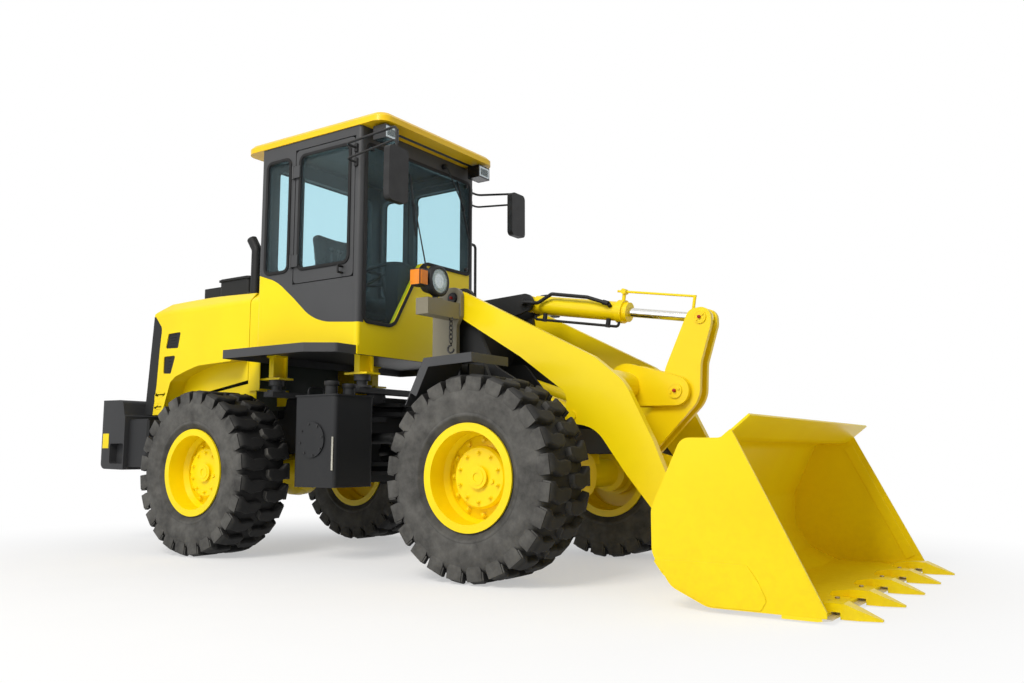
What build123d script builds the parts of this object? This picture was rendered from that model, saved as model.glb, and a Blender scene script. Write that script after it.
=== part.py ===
from build123d import *
import math
import os

# Compact articulated wheel loader: two half frames joined at a vertical pivot,
# Z-bar loader linkage, cab and engine on the rear frame.
# Millimetres. X forward, Y to the driver's left, Z up, ground at Z = 0,
# X = 0 half way between the counterweight's tail and the tooth tips.

# ---- driving dimensions -------------------------------------------------
WHEELBASE = 2240.0          # both axles are the same distance from the pivot
TRACK = 1500.0              # between tyre centres
REAR_OVERHANG = 1570.0      # rear axle to the tail of the counterweight
FRONT_REACH = 1990.0        # front axle to the tooth tips, bucket flat on the ground
TYRE_R = 537.0
TYRE_W = 400.0
RIM_FLANGE_R = 282.0
RIM_SEAT_R = 254.0

BUCKET_W = 2020.0
ARM_OUT_Y = 395.0           # outer face of a lift arm
ARM_T = 45.0
BOOM_PIVOT = (428.0, 1586.0)     # X, Z of the lift arm pins, arms down

CAB_W = 1200.0
CAB_L = 940.0
CAB_FLOOR_Z = 1330.0
CAB_TOP_Z = 2750.0
CAB_WALL = 45.0
ROOF_T = 60.0
HOOD_W = 1120.0
HOOD_TOP_Z = 1800.0
DECK_W = 1760.0

RUN = 0.3                   # running clearance of a pin in a bore, on the radius
SEAT_GAP = 0.3              # air between curved faces that seat on each other
SIDE_GAP = 6.0              # air beside a part that moves past another
PLATE = 30.0                # frame plate thickness

# ---- stations worked out from them --------------------------------------
LENGTH = REAR_OVERHANG + WHEELBASE + FRONT_REACH
FRONT_AXLE_X = LENGTH / 2 - FRONT_REACH
REAR_AXLE_X = FRONT_AXLE_X - WHEELBASE
PIVOT_X = (FRONT_AXLE_X + REAR_AXLE_X) / 2
TAIL_X = REAR_AXLE_X - REAR_OVERHANG
AXLE_Z = TYRE_R
ARM_IN_Y = ARM_OUT_Y - ARM_T
CAB_FRONT_X = PIVOT_X + 20.0
CAB_REAR_X = CAB_FRONT_X - CAB_L
HOOD_FRONT_X = CAB_REAR_X - 120.0
HOOD_REAR_X = REAR_AXLE_X - 1080.0
PIVOT_UPPER_Z = 950.0
PIVOT_LOWER_Z = 560.0
CAB_BEAM_Z = 1040.0         # underside of the cab cross beams

# linkage pins in the side view, X and Z, measured with the bucket flat
BUCKET_PIN = (FRONT_AXLE_X + 985.0, 290.0)
LINK_PIN = (FRONT_AXLE_X + 1040.0, 523.0)
CRANK_PIN = (FRONT_AXLE_X + 795.0, 1001.0)
CRANK_TOP = (FRONT_AXLE_X + 935.0, 1400.0)
CRANK_LOW = (FRONT_AXLE_X + 532.0, 666.0)
TILT_BASE = (FRONT_AXLE_X - 190.0, 1580.0)
LIFT_BASE = (FRONT_AXLE_X - 455.0, 1130.0)
LIFT_ROD = (FRONT_AXLE_X + 322.0, 867.0)
LIFT_Y = 261.0
STEER_BASE = (PIVOT_X - 420.0, 375.0)      # X and Y of the steering cylinder pins
STEER_ROD = (PIVOT_X + 300.0, 260.0)
STEER_Z = 755.0
HOOD_SPLIT_Z = 1097.0       # the rear wall above this tilts with the hood

# pins, plates and places that several parts share
PIN_R = 30.0                # bucket, link and bellcrank pins
PIVOT_PIN_R = 32.0
HOOD_PIN_R = 7.0
HOOD_KNUCKLE_R = 14.0
HOOD_HINGE = (HOOD_REAR_X + 14.0 - HOOD_KNUCKLE_R, HOOD_SPLIT_Z)
TOW_PIN_R = 20.5            # bore for the towing pin
HUB_R = 165.0
SPINDLE_R = 62.0
BEAD = 160.0                # half width over the beads
HUB_FACE = 64.0             # hub cover, outboard of the tyre's centre plane
AXLE_PAD = 120.0            # height of the axle's mounting pads over its centre line
AXLE_PAD_Y = 290.0
SHAFT_R = 38.0              # drive shafts
SHAFT_PIVOT_Z = 700.0       # height of the shaft's joint over the ground, at the pivot
GEARBOX_OUT_Z = 640.0
STEER_LUG_Z = 42.0          # half the space between the steering lugs
LUG_T = 18.0
HOOD_LUG_Y = 318.0          # between the two knuckles of a hood hinge
ENGINE_Z = 960.0
TOWER_OUT_Y = ARM_OUT_Y + SIDE_GAP
TOWER_IN_Y = ARM_IN_Y - SIDE_GAP
TOWER_SPLIT_Z = 1180.0      # top of the black outer plates, foot of the lamp towers
RIB_OUT_Y = LIFT_Y - 52.0
CROSS_TUBE = (FRONT_AXLE_X + 500.0, 1035.0)
BRACKET_IN_Y = 66.0
BRACKET_OUT_Y = 96.0
CRANK_IN_Y = 32.0
CRANK_OUT_Y = 60.0

BUCKET_SIDE_T = 12.0
BUCKET_SHEET_T = 10.0
WEAR_T = 4.0
TOOTH_PITCH = 422.0
TOOTH_ROOT_X = FRONT_AXLE_X + 1850.0

DECK_Z = CAB_FLOOR_Z
TANK_IN_Y = 448.0
STEP_IN_Y = 600.0 + SEAT_GAP
CAB_MOUNT_Y = 470.0
WINDOW_SILL_Z = 1870.0
WINDOW_HEAD_Z = 2640.0
SCREEN_SILL_Z = 1957.0
SCREEN_LOW_Z = 1484.0       # foot of the low pane beside the driver's right leg
BASE_LINE_Z = 1478.0        # where the yellow base meets the glazed top, at the front
DOOR_REAR_X = CAB_FRONT_X - 600.0
DOOR_FRONT_X = CAB_FRONT_X - 45.0
HATCH_Z = (1770.0, 2690.0)
DOOR_Z = (1385.0, 2690.0)
DOOR_GAP = 6.0
DOOR_FRAME = 45.0
GLASS_T = 6.0
FENDER_GAP = 8.0
FENDER_IN_Y = 580.0         # edges of a front fender
FENDER_OUT_Y = 920.0
FENDER_SKIRT = 50.0

NODES = {}


# ---- small makers -------------------------------------------------------
def block(x0, x1, y0, y1, z0, z1):
    """Box between two corners."""
    size = (x1 - x0, y1 - y0, z1 - z0)
    return Pos((x0 + x1) / 2, (y0 + y1) / 2, (z0 + z1) / 2) * Box(*size)


def rod_y(point, radius, y0, y1):
    """Round bar along Y through an X, Z point."""
    place = Pos(point[0], (y0 + y1) / 2, point[1]) * Rot(90, 0, 0)
    return place * Cylinder(radius, y1 - y0)


def rod_z(x, y, radius, z0, z1):
    """Round bar along Z."""
    return Pos(x, y, (z0 + z1) / 2) * Cylinder(radius, z1 - z0)


def rod_between(a, b, radius):
    """Round bar between two 3-D points."""
    a, b = Vector(*a), Vector(*b)
    plane = Plane(origin=(a + b) * 0.5, z_dir=b - a)
    return plane * Cylinder(radius, (b - a).length)


def rounded(points, radius=0.0, closed=True):
    """Edges of an X, Y outline with its corners rounded by one radius or a list."""
    count = len(points)
    inner = range(count) if closed else range(1, count - 1)
    radii = radius if isinstance(radius, (list, tuple)) else [radius] * len(inner)
    ends, edges = {}, []
    for i, r in zip(inner, radii):
        a, b, c = (Vector(*points[k % count]) for k in (i - 1, i, i + 1))
        into, out = (a - b).normalized(), (c - b).normalized()
        half = math.acos(max(-1.0, min(1.0, into.dot(out)))) / 2
        if r < 0.01 or half > 1.5:
            continue
        reach = r / math.tan(half)
        middle = b + (into + out).normalized() * (r / math.sin(half) - r)
        ends[i] = (b + into * reach, middle, b + out * reach)
        edges.append(ThreePointArc(*ends[i]))
    for i in range(count if closed else count - 1):
        j = (i + 1) % count
        start = ends[i][2] if i in ends else Vector(*points[i])
        stop = ends[j][0] if j in ends else Vector(*points[j])
        if (stop - start).length > 0.01:
            edges.append(Line(start, stop))
    return edges


def side_face(outline, y, radius=0.0):
    """Closed X, Z outline as a face at one Y, corners rounded by radius or radii."""
    return Plane.XZ.offset(-y) * make_face(rounded(outline, radius))


def side_plate(outline, y0, y1, radius=0.0):
    """X, Z outline made into a plate from y0 to y1."""
    return extrude(side_face(outline, y1, radius), y1 - y0)


def top_plate(outline, z0, z1, radius=0.0):
    """X, Y outline made into a plate from z0 to z1."""
    return extrude(Pos(0, 0, z0) * make_face(rounded(outline, radius)), z1 - z0)


def end_plate(outline, x0, x1, radius=0.0):
    """Y, Z outline made into a plate from x0 to x1."""
    return extrude(Plane.YZ.offset(x0) * make_face(rounded(outline, radius)), x1 - x0)


def offset_path(points, distance):
    """Open path moved sideways by distance, corners mitred; left is positive."""
    moved = []
    last = len(points) - 1
    for i, point in enumerate(points):
        here = Vector(*point)
        ahead = (Vector(*points[min(i + 1, last)]) - here)
        behind = (here - Vector(*points[max(i - 1, 0)]))
        d1 = (behind if behind.length else ahead).normalized()
        d2 = (ahead if ahead.length else behind).normalized()
        n1, n2 = Vector(-d1.Y, d1.X), Vector(-d2.Y, d2.X)
        mitre = (n1 + n2) * (1 / (1 + n1.dot(n2)))
        moved.append((here.X + mitre.X * distance, here.Y + mitre.Y * distance))
    return moved


def bent_face(points, thickness, radius):
    """Face of sheet bent along an open path; the sheet lies left of the path."""
    inner = offset_path(points, thickness)
    near, far = [], []
    for i in range(1, len(points) - 1):
        a, b, c = (Vector(*points[k]) for k in (i - 1, i, i + 1))
        left = (b - a).cross(c - b).Z > 0
        near.append(radius + thickness if left else radius)
        far.append(radius if left else radius + thickness)
    ends = [Line(points[0], inner[0]), Line(points[-1], inner[-1])]
    return make_face([*rounded(points, near, False), *rounded(inner, far, False), *ends])


def bent_sheet(points, thickness, radius, y0, y1):
    """Bent sheet with its section in X, Z, from y0 to y1."""
    face = Plane.XZ.offset(-y1) * bent_face(points, thickness, radius)
    return extrude(face, y1 - y0)


def both_sides(shape):
    """A right-hand piece and its mirror image."""
    return [shape, mirror(shape, Plane.XZ)]


def tangent_plate(circles, y0, y1):
    """Plate whose outline wraps round circles given as x, z, radius."""
    discs = Sketch() + [Pos(x, z) * Circle(r) for x, z, r in circles]
    return extrude(Plane.XZ.offset(-y1) * make_hull(discs.edges()), y1 - y0)


def bent_bar(points, radius, bend):
    """Round bar or hose through 3-D points: straight runs joined by tangent arcs."""
    path = Wire(rounded(points, bend, closed=False))
    start = Plane(origin=points[0], z_dir=Vector(*points[1]) - Vector(*points[0]))
    return sweep(start * Circle(radius), path=path)


def node(name, *shapes):
    """File solids under a node name; nothing is fused here."""
    solids = NODES.setdefault(name, [])
    for shape in shapes:
        for item in shape if isinstance(shape, (list, tuple)) else [shape]:
            solids.extend(item.solids())


def along(a, b, distance):
    """Point at a distance from a towards b, in X, Z."""
    length = math.dist(a, b)
    return tuple(p + (q - p) * distance / length for p, q in zip(a, b))


# ---- wheels -------------------------------------------------------------
def wheel(side, axle_x):
    """Tyre and rim solids of one wheel; side is -1 for the right."""
    half = TYRE_W / 2
    # radius and offset from the centre plane, bead to bead over the tread
    tyre_outline = [
        (RIM_SEAT_R + SEAT_GAP, -BEAD),
        (RIM_FLANGE_R + 4, -BEAD),
        (RIM_FLANGE_R + 18, -half * 0.92),
        (TYRE_R * 0.74, -half),
        (TYRE_R * 0.93, -half * 0.97),
        (TYRE_R, -half * 0.84),
        (TYRE_R, half * 0.84),
        (TYRE_R * 0.93, half * 0.97),
        (TYRE_R * 0.74, half),
        (RIM_FLANGE_R + 18, half * 0.92),
        (RIM_FLANGE_R + 4, BEAD),
        (RIM_SEAT_R + SEAT_GAP, BEAD),
    ]
    rounding = [2, 3, 10, 60, 30, 16, 16, 30, 60, 10, 3, 2]
    section = make_face(rounded(tyre_outline, rounding))
    tyre = revolve(Plane.XY * section, Axis.Y)
    edge = BEAD
    # the rim's barrel with its two flanges, then the disc and the hub drum
    rim_outline = [
        (RIM_SEAT_R, -edge), (RIM_FLANGE_R, -edge - 2), (RIM_FLANGE_R, -edge - 14),
        (RIM_SEAT_R - 14, -edge - 14), (RIM_SEAT_R - 14, -70), (RIM_SEAT_R - 34, -40),
        (RIM_SEAT_R - 34, 30), (RIM_SEAT_R - 14, 60),
        (RIM_SEAT_R - 14, edge + 14), (RIM_FLANGE_R, edge + 14), (RIM_FLANGE_R, edge + 2),
        (RIM_SEAT_R, edge), (RIM_SEAT_R, 76), (RIM_SEAT_R - 20, 46),
        (RIM_SEAT_R - 20, -56), (RIM_SEAT_R, -86),
    ]
    barrel = revolve(make_face(Polyline(*rim_outline, close=True)), Axis.Y)
    disc_outline = [
        (SPINDLE_R + RUN, -60), (HUB_R - 25, -60), (HUB_R - 25, 2), (RIM_SEAT_R - 30, -8),
        (RIM_SEAT_R - 30, 8), (HUB_R, 20), (HUB_R, HUB_FACE - 12), (HUB_R - 12, HUB_FACE),
        (0, HUB_FACE), (0, 40), (SPINDLE_R + RUN, 40),
    ]
    disc = revolve(make_face(Polyline(*disc_outline, close=True)), Axis.Y)
    rim = barrel + disc
    place = Pos(axle_x, side * TRACK / 2, AXLE_Z) * Rot(0, 0, 180 if side < 0 else 0)
    return place * tyre, place * rim


WHEELS = [
    # name, side, axle X
    ("front_right", -1, FRONT_AXLE_X),
    ("front_left", 1, FRONT_AXLE_X),
    ("rear_right", -1, REAR_AXLE_X),
    ("rear_left", 1, REAR_AXLE_X),
]
for name, side, axle_x in WHEELS:
    tyre, rim = wheel(side, axle_x)
    node(name + "_tyre", tyre)
    node(name + "_rim", rim)


# ---- axles --------------------------------------------------------------
def axle(axle_x, nose):
    """Drive axle: banjo housing, tapered arms, spindles; nose is the pinion's way."""
    end = TRACK / 2 + 36
    # radius and Y, centre to spindle end
    outline = [
        (0, 0), (178, 0), (172, 60), (125, 150), (96, 230), (88, TRACK / 2 - 170),
        (120, TRACK / 2 - 150), (120, TRACK / 2 - 75), (SPINDLE_R, TRACK / 2 - 75),
        (SPINDLE_R, end), (0, end),
    ]
    half = revolve(make_face(Polyline(*outline, close=True)), Axis.Y)
    housing = half + mirror(half, Plane.XZ)
    nose_cone = Pos(nose * 190, 0, 0) * Rot(0, 90, 0) * Cone(
        105 if nose > 0 else 62, 62 if nose > 0 else 105, 170)
    flange = Pos(nose * 285, 0, 0) * Rot(0, 90, 0) * Cylinder(58, 22)
    cover = Pos(-nose * 150, 0, 0) * Rot(0, 90, 0) * Cylinder(128, 60)
    pads = [block(-75, 75, y - 60, y + 60, 60, AXLE_PAD) for y in (-AXLE_PAD_Y, AXLE_PAD_Y)]
    body = housing + nose_cone + flange + cover
    for pad in pads:
        body += pad
    return Pos(axle_x, 0, AXLE_Z) * body


node("front_axle", axle(FRONT_AXLE_X, -1))
node("rear_axle", axle(REAR_AXLE_X, 1))


# ---- rear frame ---------------------------------------------------------
def steering_lugs(eye, roots, side):
    """Two lugs over and under a steering cylinder's eye; roots are circles on the frame."""
    circles = [(*eye, 44)] + roots
    discs = Sketch() + [Pos(x, side * y) * Circle(r) for x, y, r in circles]
    face = make_hull(discs.edges())
    levels = (STEER_Z - STEER_LUG_Z - LUG_T, STEER_Z + STEER_LUG_Z)
    return [extrude(Pos(0, 0, z) * face, LUG_T) for z in levels]


def shaft_z(x):
    """Height of the drive shaft's centre line; it bends at the pivot."""
    back = (PIVOT_X - 650, GEARBOX_OUT_Z)
    front = (FRONT_AXLE_X - 296, AXLE_Z)
    a, b = (back, (PIVOT_X, SHAFT_PIVOT_Z)) if x < PIVOT_X else ((PIVOT_X, SHAFT_PIVOT_Z), front)
    return a[1] + (b[1] - a[1]) * (x - a[0]) / (b[0] - a[0])


def rear_frame():
    """Two side members, cross plates and the two pairs of pivot lugs."""
    member = side_plate([
        (PIVOT_X - 20, CAB_BEAM_Z), (PIVOT_X - 20, CAB_BEAM_Z - 50), (PIVOT_X - 255, 940),
        (PIVOT_X - 260, 470), (PIVOT_X - 560, 440),
        (REAR_AXLE_X + 330, AXLE_Z + AXLE_PAD), (REAR_AXLE_X - 330, AXLE_Z + AXLE_PAD),
        (TAIL_X + 590, 560), (TAIL_X + 430, 560), (TAIL_X + 430, 900),
        (PIVOT_X - 950, 900), (CAB_REAR_X, CAB_BEAM_Z),
    ], -AXLE_PAD_Y - 20, -AXLE_PAD_Y + 5, radius=20)
    window = side_plate([(STEER_BASE[0] + 5, STEER_Z - 50), (STEER_BASE[0] + 5, STEER_Z + 50),
                         (PIVOT_X - 250, STEER_Z + 50), (PIVOT_X - 250, STEER_Z - 50)],
                        -AXLE_PAD_Y - 25, -AXLE_PAD_Y + 60, radius=[20, 20, 0, 0])
    member -= window
    body = member + mirror(member, Plane.XZ)
    inner = AXLE_PAD_Y - 5
    # cross plates: rear face, bottom, top
    for x0, z0, z1 in (
            (PIVOT_X - 290, 470, 1040), (PIVOT_X - 600, 520, 900),
            (REAR_AXLE_X - 420, 680, 900), (TAIL_X + 470, 565, 895)):
        body += block(x0, x0 + 26, -inner, inner, z0, z1)
    for cut in both_sides(window):
        body -= cut
    for x0 in (PIVOT_X - 290, PIVOT_X - 600):
        body -= Pos(x0 + 13, 0, shaft_z(x0 + 13)) * Rot(0, 90, 0) * Cylinder(SHAFT_R + 34, 60)
    for z in (PIVOT_UPPER_Z, PIVOT_LOWER_Z):
        for z0 in (z - PLATE / 2 - 2 - 26, z + PLATE / 2 + 2):
            lug = top_plate([
                (PIVOT_X - 275, -250), (PIVOT_X - 275, 250), (PIVOT_X - 60, 95),
                (PIVOT_X + 95, 60), (PIVOT_X + 95, -60), (PIVOT_X - 60, -95)],
                z0, z0 + 26, radius=[4, 4, 40, 55, 55, 40])
            body += lug
    for side in (-1, 1):
        roots = [(STEER_BASE[0] - 60, AXLE_PAD_Y + 8, 10), (STEER_BASE[0] + 60, AXLE_PAD_Y + 8, 10)]
        for lug in steering_lugs(STEER_BASE, roots, side):
            body += lug
        body += rod_z(STEER_BASE[0], side * STEER_BASE[1], 20, STEER_Z - 66, STEER_Z + 66)
        for x in (REAR_AXLE_X - 420, REAR_AXLE_X + 60):
            y0, y1 = sorted((side * (AXLE_PAD_Y - 60), side * (AXLE_PAD_Y + 10)))
            body += block(x - 40, x + 40, y0, y1, 880, ENGINE_Z - SEAT_GAP)
    for z in (PIVOT_UPPER_Z, PIVOT_LOWER_Z):
        body += rod_z(PIVOT_X, 0, PIVOT_PIN_R, z - 62, z + 62)
    return body


node("rear_frame", rear_frame())


# ---- front frame with the tower -----------------------------------------
def tower_outline(x_front, top=None):
    """Side view of a tower plate; top cuts it off level."""
    bx, bz = BOOM_PIVOT
    below = [(FRONT_AXLE_X - 250, 1180), (x_front, 900), (x_front, AXLE_Z + AXLE_PAD),
             (PIVOT_X + 500, AXLE_Z + AXLE_PAD), (PIVOT_X + 500, 1050)]
    if top:
        return below + [(PIVOT_X + 510, top)]
    return [(bx + 72, bz + 72), (bx + 92, bz - 120)] + below + [(bx - 120, 1380), (bx - 72, bz + 72)]


def front_frame():
    """Tower plates for the arms, ribs for the cylinders, cross plates, pivot lugs."""
    rounding = [60, 120, 160, 60, 10, 10, 80, 120, 60]
    x_front = FRONT_AXLE_X + 240
    outer = side_plate(tower_outline(FRONT_AXLE_X - 120, TOWER_SPLIT_Z),
                       -TOWER_OUT_Y - PLATE, -TOWER_OUT_Y, radius=[2, 60, 10, 10, 80, 2])
    inner = side_plate(tower_outline(x_front), -TOWER_IN_Y, -TOWER_IN_Y + PLATE, radius=rounding)
    rib = side_plate([
        (LIFT_BASE[0] + 80, 1230), (FRONT_AXLE_X - 200, 1020), (x_front, 900),
        (x_front, AXLE_Z + AXLE_PAD), (PIVOT_X + 500, AXLE_Z + AXLE_PAD),
        (PIVOT_X + 500, 1050), (LIFT_BASE[0] - 70, 1230)],
        -RIB_OUT_Y, -RIB_OUT_Y + 22, radius=[60, 100, 60, 8, 8, 80, 60])
    half = outer + inner + rib
    half += block(PIVOT_X + 500, PIVOT_X + 526, -TOWER_OUT_Y - 1, -RIB_OUT_Y + 10, 660, 1050)
    half += block(PIVOT_X + 526, x_front, -TOWER_IN_Y + 2, 1, AXLE_Z + 190, AXLE_Z + 216)
    half += rod_y(LIFT_BASE, 24, -TOWER_IN_Y + 5, -RIB_OUT_Y + 5)
    half += rod_y(BOOM_PIVOT, 34, -TOWER_OUT_Y - PLATE - 6, -TOWER_IN_Y + PLATE + 6)
    for x in (600, 655):
        half += block(x, x + 12, -FENDER_IN_Y + SEAT_GAP, -TOWER_OUT_Y - PLATE + 2, 1085, 1166)
    body = half + mirror(half, Plane.XZ)
    body += block(PIVOT_X + 500, PIVOT_X + 526, -RIB_OUT_Y + 5, RIB_OUT_Y - 5, 520, 1180)
    body += block(x_front - 26, x_front, -TOWER_IN_Y + 5, TOWER_IN_Y - 5, 660, 800)
    body += block(BOOM_PIVOT[0] - 40, BOOM_PIVOT[0] - 15, -TOWER_IN_Y + 5, TOWER_IN_Y - 5, 1440, 1610)
    body += side_plate([(PIVOT_X + 510, 1160), (BOOM_PIVOT[0] - 40, 1445),
                        (BOOM_PIVOT[0] - 15, 1445), (PIVOT_X + 526, 1130)],
                       -TOWER_IN_Y + 5, TOWER_IN_Y - 5)
    for z in (PIVOT_UPPER_Z, PIVOT_LOWER_Z):
        lug = top_plate([
            (PIVOT_X + 505, -190), (PIVOT_X + 505, 190), (PIVOT_X + 60, 95),
            (PIVOT_X - 92, 60), (PIVOT_X - 92, -60), (PIVOT_X + 60, -95)],
            z - PLATE / 2, z + PLATE / 2, radius=[4, 4, 40, 55, 55, 40])
        lug -= rod_z(PIVOT_X, 0, PIVOT_PIN_R + RUN, z - 60, z + 60)
        body += lug
    hole_z = shaft_z(PIVOT_X + 513)
    body -= Pos(PIVOT_X + 508, 0, hole_z) * Rot(0, 90, 0) * Cylinder(SHAFT_R + 34, 80)
    for side in (-1, 1):
        roots = [(PIVOT_X + 505, STEER_ROD[1] - 60, 8), (PIVOT_X + 505, STEER_ROD[1] + 60, 8)]
        for lug in steering_lugs(STEER_ROD, roots, side):
            body += lug
        for z in (STEER_Z - STEER_LUG_Z - LUG_T, STEER_Z + STEER_LUG_Z - 14):
            body += rod_z(STEER_ROD[0], side * STEER_ROD[1], 17, z, z + LUG_T + 14)
    body += rod_y(TILT_BASE, 24, -100, 100) + rod_y(TILT_BASE, 13, -111 + SEAT_GAP, -99)
    for side in (-1, 1):
        ear = tangent_plate([(TILT_BASE[0], TILT_BASE[1], 55), (BOOM_PIVOT[0] - 10, 1560, 60),
                             (BOOM_PIVOT[0] - 10, 1480, 40)], 0, 28)
        body += Pos(0, side * 80 - 14, 0) * ear
    return body


node("front_frame", front_frame())


def lamp_tower():
    """Upper outer plate beside an arm's root, with the hook over the arm pin's end."""
    bx, bz = BOOM_PIVOT
    plate = side_plate([
        (PIVOT_X + 485, TOWER_SPLIT_Z), (PIVOT_X + 485, 1490), (bx - 82, bz + 66),
        (bx + 60, bz + 66), (bx + 60, bz - 110), (bx + 30, 1420), (bx + 30, TOWER_SPLIT_Z)],
        -TOWER_OUT_Y - PLATE, -TOWER_OUT_Y, radius=[2, 90, 60, 58, 40, 40, 2])
    return plate - rod_y(BOOM_PIVOT, 34 + SEAT_GAP, -TOWER_OUT_Y - PLATE - 1, -TOWER_OUT_Y + 1)


node("lamp_towers", both_sides(lamp_tower()))


# ---- boom ---------------------------------------------------------------
def boom():
    """Two goose-neck arms, cross tube, and the double bracket that holds the bellcrank."""
    x = FRONT_AXLE_X
    outline = [
        (BOOM_PIVOT[0] - 62, BOOM_PIVOT[1] + 40), (BOOM_PIVOT[0] + 30, BOOM_PIVOT[1] + 50),
        (x + 460, 1182), (x + 640, 1040), (x + 800, 730), (x + 870, 560),
        (BUCKET_PIN[0] + 50, BUCKET_PIN[1] + 45), (BUCKET_PIN[0] + 30, BUCKET_PIN[1] - 70),
        (BUCKET_PIN[0] - 75, BUCKET_PIN[1] - 55), (x + 650, 545), (x + 470, 790),
        (LIFT_ROD[0] + 70, LIFT_ROD[1] - 55), (LIFT_ROD[0] - 55, LIFT_ROD[1] - 35),
        (x + 292, 985), (x - 20, 1210), (BOOM_PIVOT[0] - 20, BOOM_PIVOT[1] - 85),
    ]
    rounding = [50, 60, 120, 260, 200, 200, 40, 60, 60, 200, 200, 30, 40, 80, 60, 60]
    arm = side_plate(outline, -ARM_OUT_Y, -ARM_IN_Y, radius=rounding)
    arm -= rod_y(BOOM_PIVOT, 34 + RUN, -ARM_OUT_Y - 5, -ARM_IN_Y + 5)
    arm -= rod_y(BUCKET_PIN, PIN_R + RUN, -ARM_OUT_Y - 5, -ARM_IN_Y + 5)
    arm += rod_y(LIFT_ROD, 24, -ARM_OUT_Y - 8, -ARM_IN_Y + 12)
    tube = rod_y(CROSS_TUBE, 82, -ARM_IN_Y - 5, ARM_IN_Y + 5)
    body = tube + arm + mirror(arm, Plane.XZ)
    for side in (-1, 1):
        bracket = tangent_plate([
            (CROSS_TUBE[0], CROSS_TUBE[1] + 10, 120), (CRANK_PIN[0] - 110, CRANK_PIN[1] + 20, 92),
            (CRANK_PIN[0], CRANK_PIN[1], 80)], 0, BRACKET_OUT_Y - BRACKET_IN_Y)
        y0 = BRACKET_IN_Y if side > 0 else -BRACKET_OUT_Y
        body += Pos(0, y0, 0) * bracket
    body += rod_y(CRANK_PIN, PIN_R, -BRACKET_OUT_Y - 6, BRACKET_OUT_Y + 6)
    return body


node("boom", boom())


# ---- bellcrank and link -------------------------------------------------
def bellcrank():
    """Two boomerang plates joined by a hub; stub pins leave the forks open."""
    plates = []
    for side in (-1, 1):
        outline = [
            (CRANK_TOP[0] - 66, CRANK_TOP[1] + 48), (CRANK_TOP[0] + 62, CRANK_TOP[1] + 62),
            (CRANK_TOP[0] + 62, CRANK_TOP[1] - 40), (CRANK_PIN[0] + 138, CRANK_PIN[1] + 150),
            (CRANK_PIN[0] + 128, CRANK_PIN[1] - 50), (CRANK_LOW[0] + 66, CRANK_LOW[1] - 45),
            (CRANK_LOW[0] - 58, CRANK_LOW[1] - 58), (CRANK_LOW[0] - 58, CRANK_LOW[1] + 50),
            (CRANK_PIN[0] - 120, CRANK_PIN[1] - 60), (CRANK_PIN[0] - 70, CRANK_PIN[1] + 130),
        ]
        rounding = [60, 60, 60, 120, 160, 40, 55, 60, 120, 200]
        y0 = CRANK_IN_Y if side > 0 else -CRANK_OUT_Y
        plates.append(side_plate(outline, y0, y0 + CRANK_OUT_Y - CRANK_IN_Y, radius=rounding))
    hub = rod_y(CRANK_PIN, 62, -CRANK_OUT_Y - 4, CRANK_OUT_Y + 4)
    body = hub + plates[0] + plates[1]
    body -= rod_y(CRANK_PIN, PIN_R + RUN, -CRANK_OUT_Y - 5, CRANK_OUT_Y + 5)
    for point in (CRANK_TOP, CRANK_LOW):
        for side in (-1, 1):
            y0, y1 = sorted((side * (CRANK_IN_Y + 1), side * (CRANK_OUT_Y + 8)))
            body += rod_y(point, 26, y0, y1)
    return body


node("bellcrank", bellcrank())


def bucket_link():
    """Forged bar between the bellcrank and the bucket."""
    half = 25.0
    bar = tangent_plate([(*CRANK_LOW, 32), (*LINK_PIN, 32)], -half + 4, half - 4)
    eyes = rod_y(CRANK_LOW, 52, -half, half) + rod_y(LINK_PIN, 52, -half, half)
    body = bar + eyes
    body -= rod_y(LINK_PIN, PIN_R + RUN, -half - 1, half + 1)
    body -= rod_y(CRANK_LOW, PIN_R + RUN, -half - 1, half + 1)
    return body


node("bucket_link", bucket_link())


# ---- bucket -------------------------------------------------------------
def bucket_side_outline():
    """Side plate of the bucket, X and Z."""
    x = FRONT_AXLE_X
    return [
        (x + 1452, 765), (x + 1404, 727), (x + 1225, 729), (x + 1078, 420),
        (x + 1078, 230), (x + 1165, 95), (x + 1330, 22), (x + 1818, 22), (x + 1818, 46),
    ]


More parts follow.
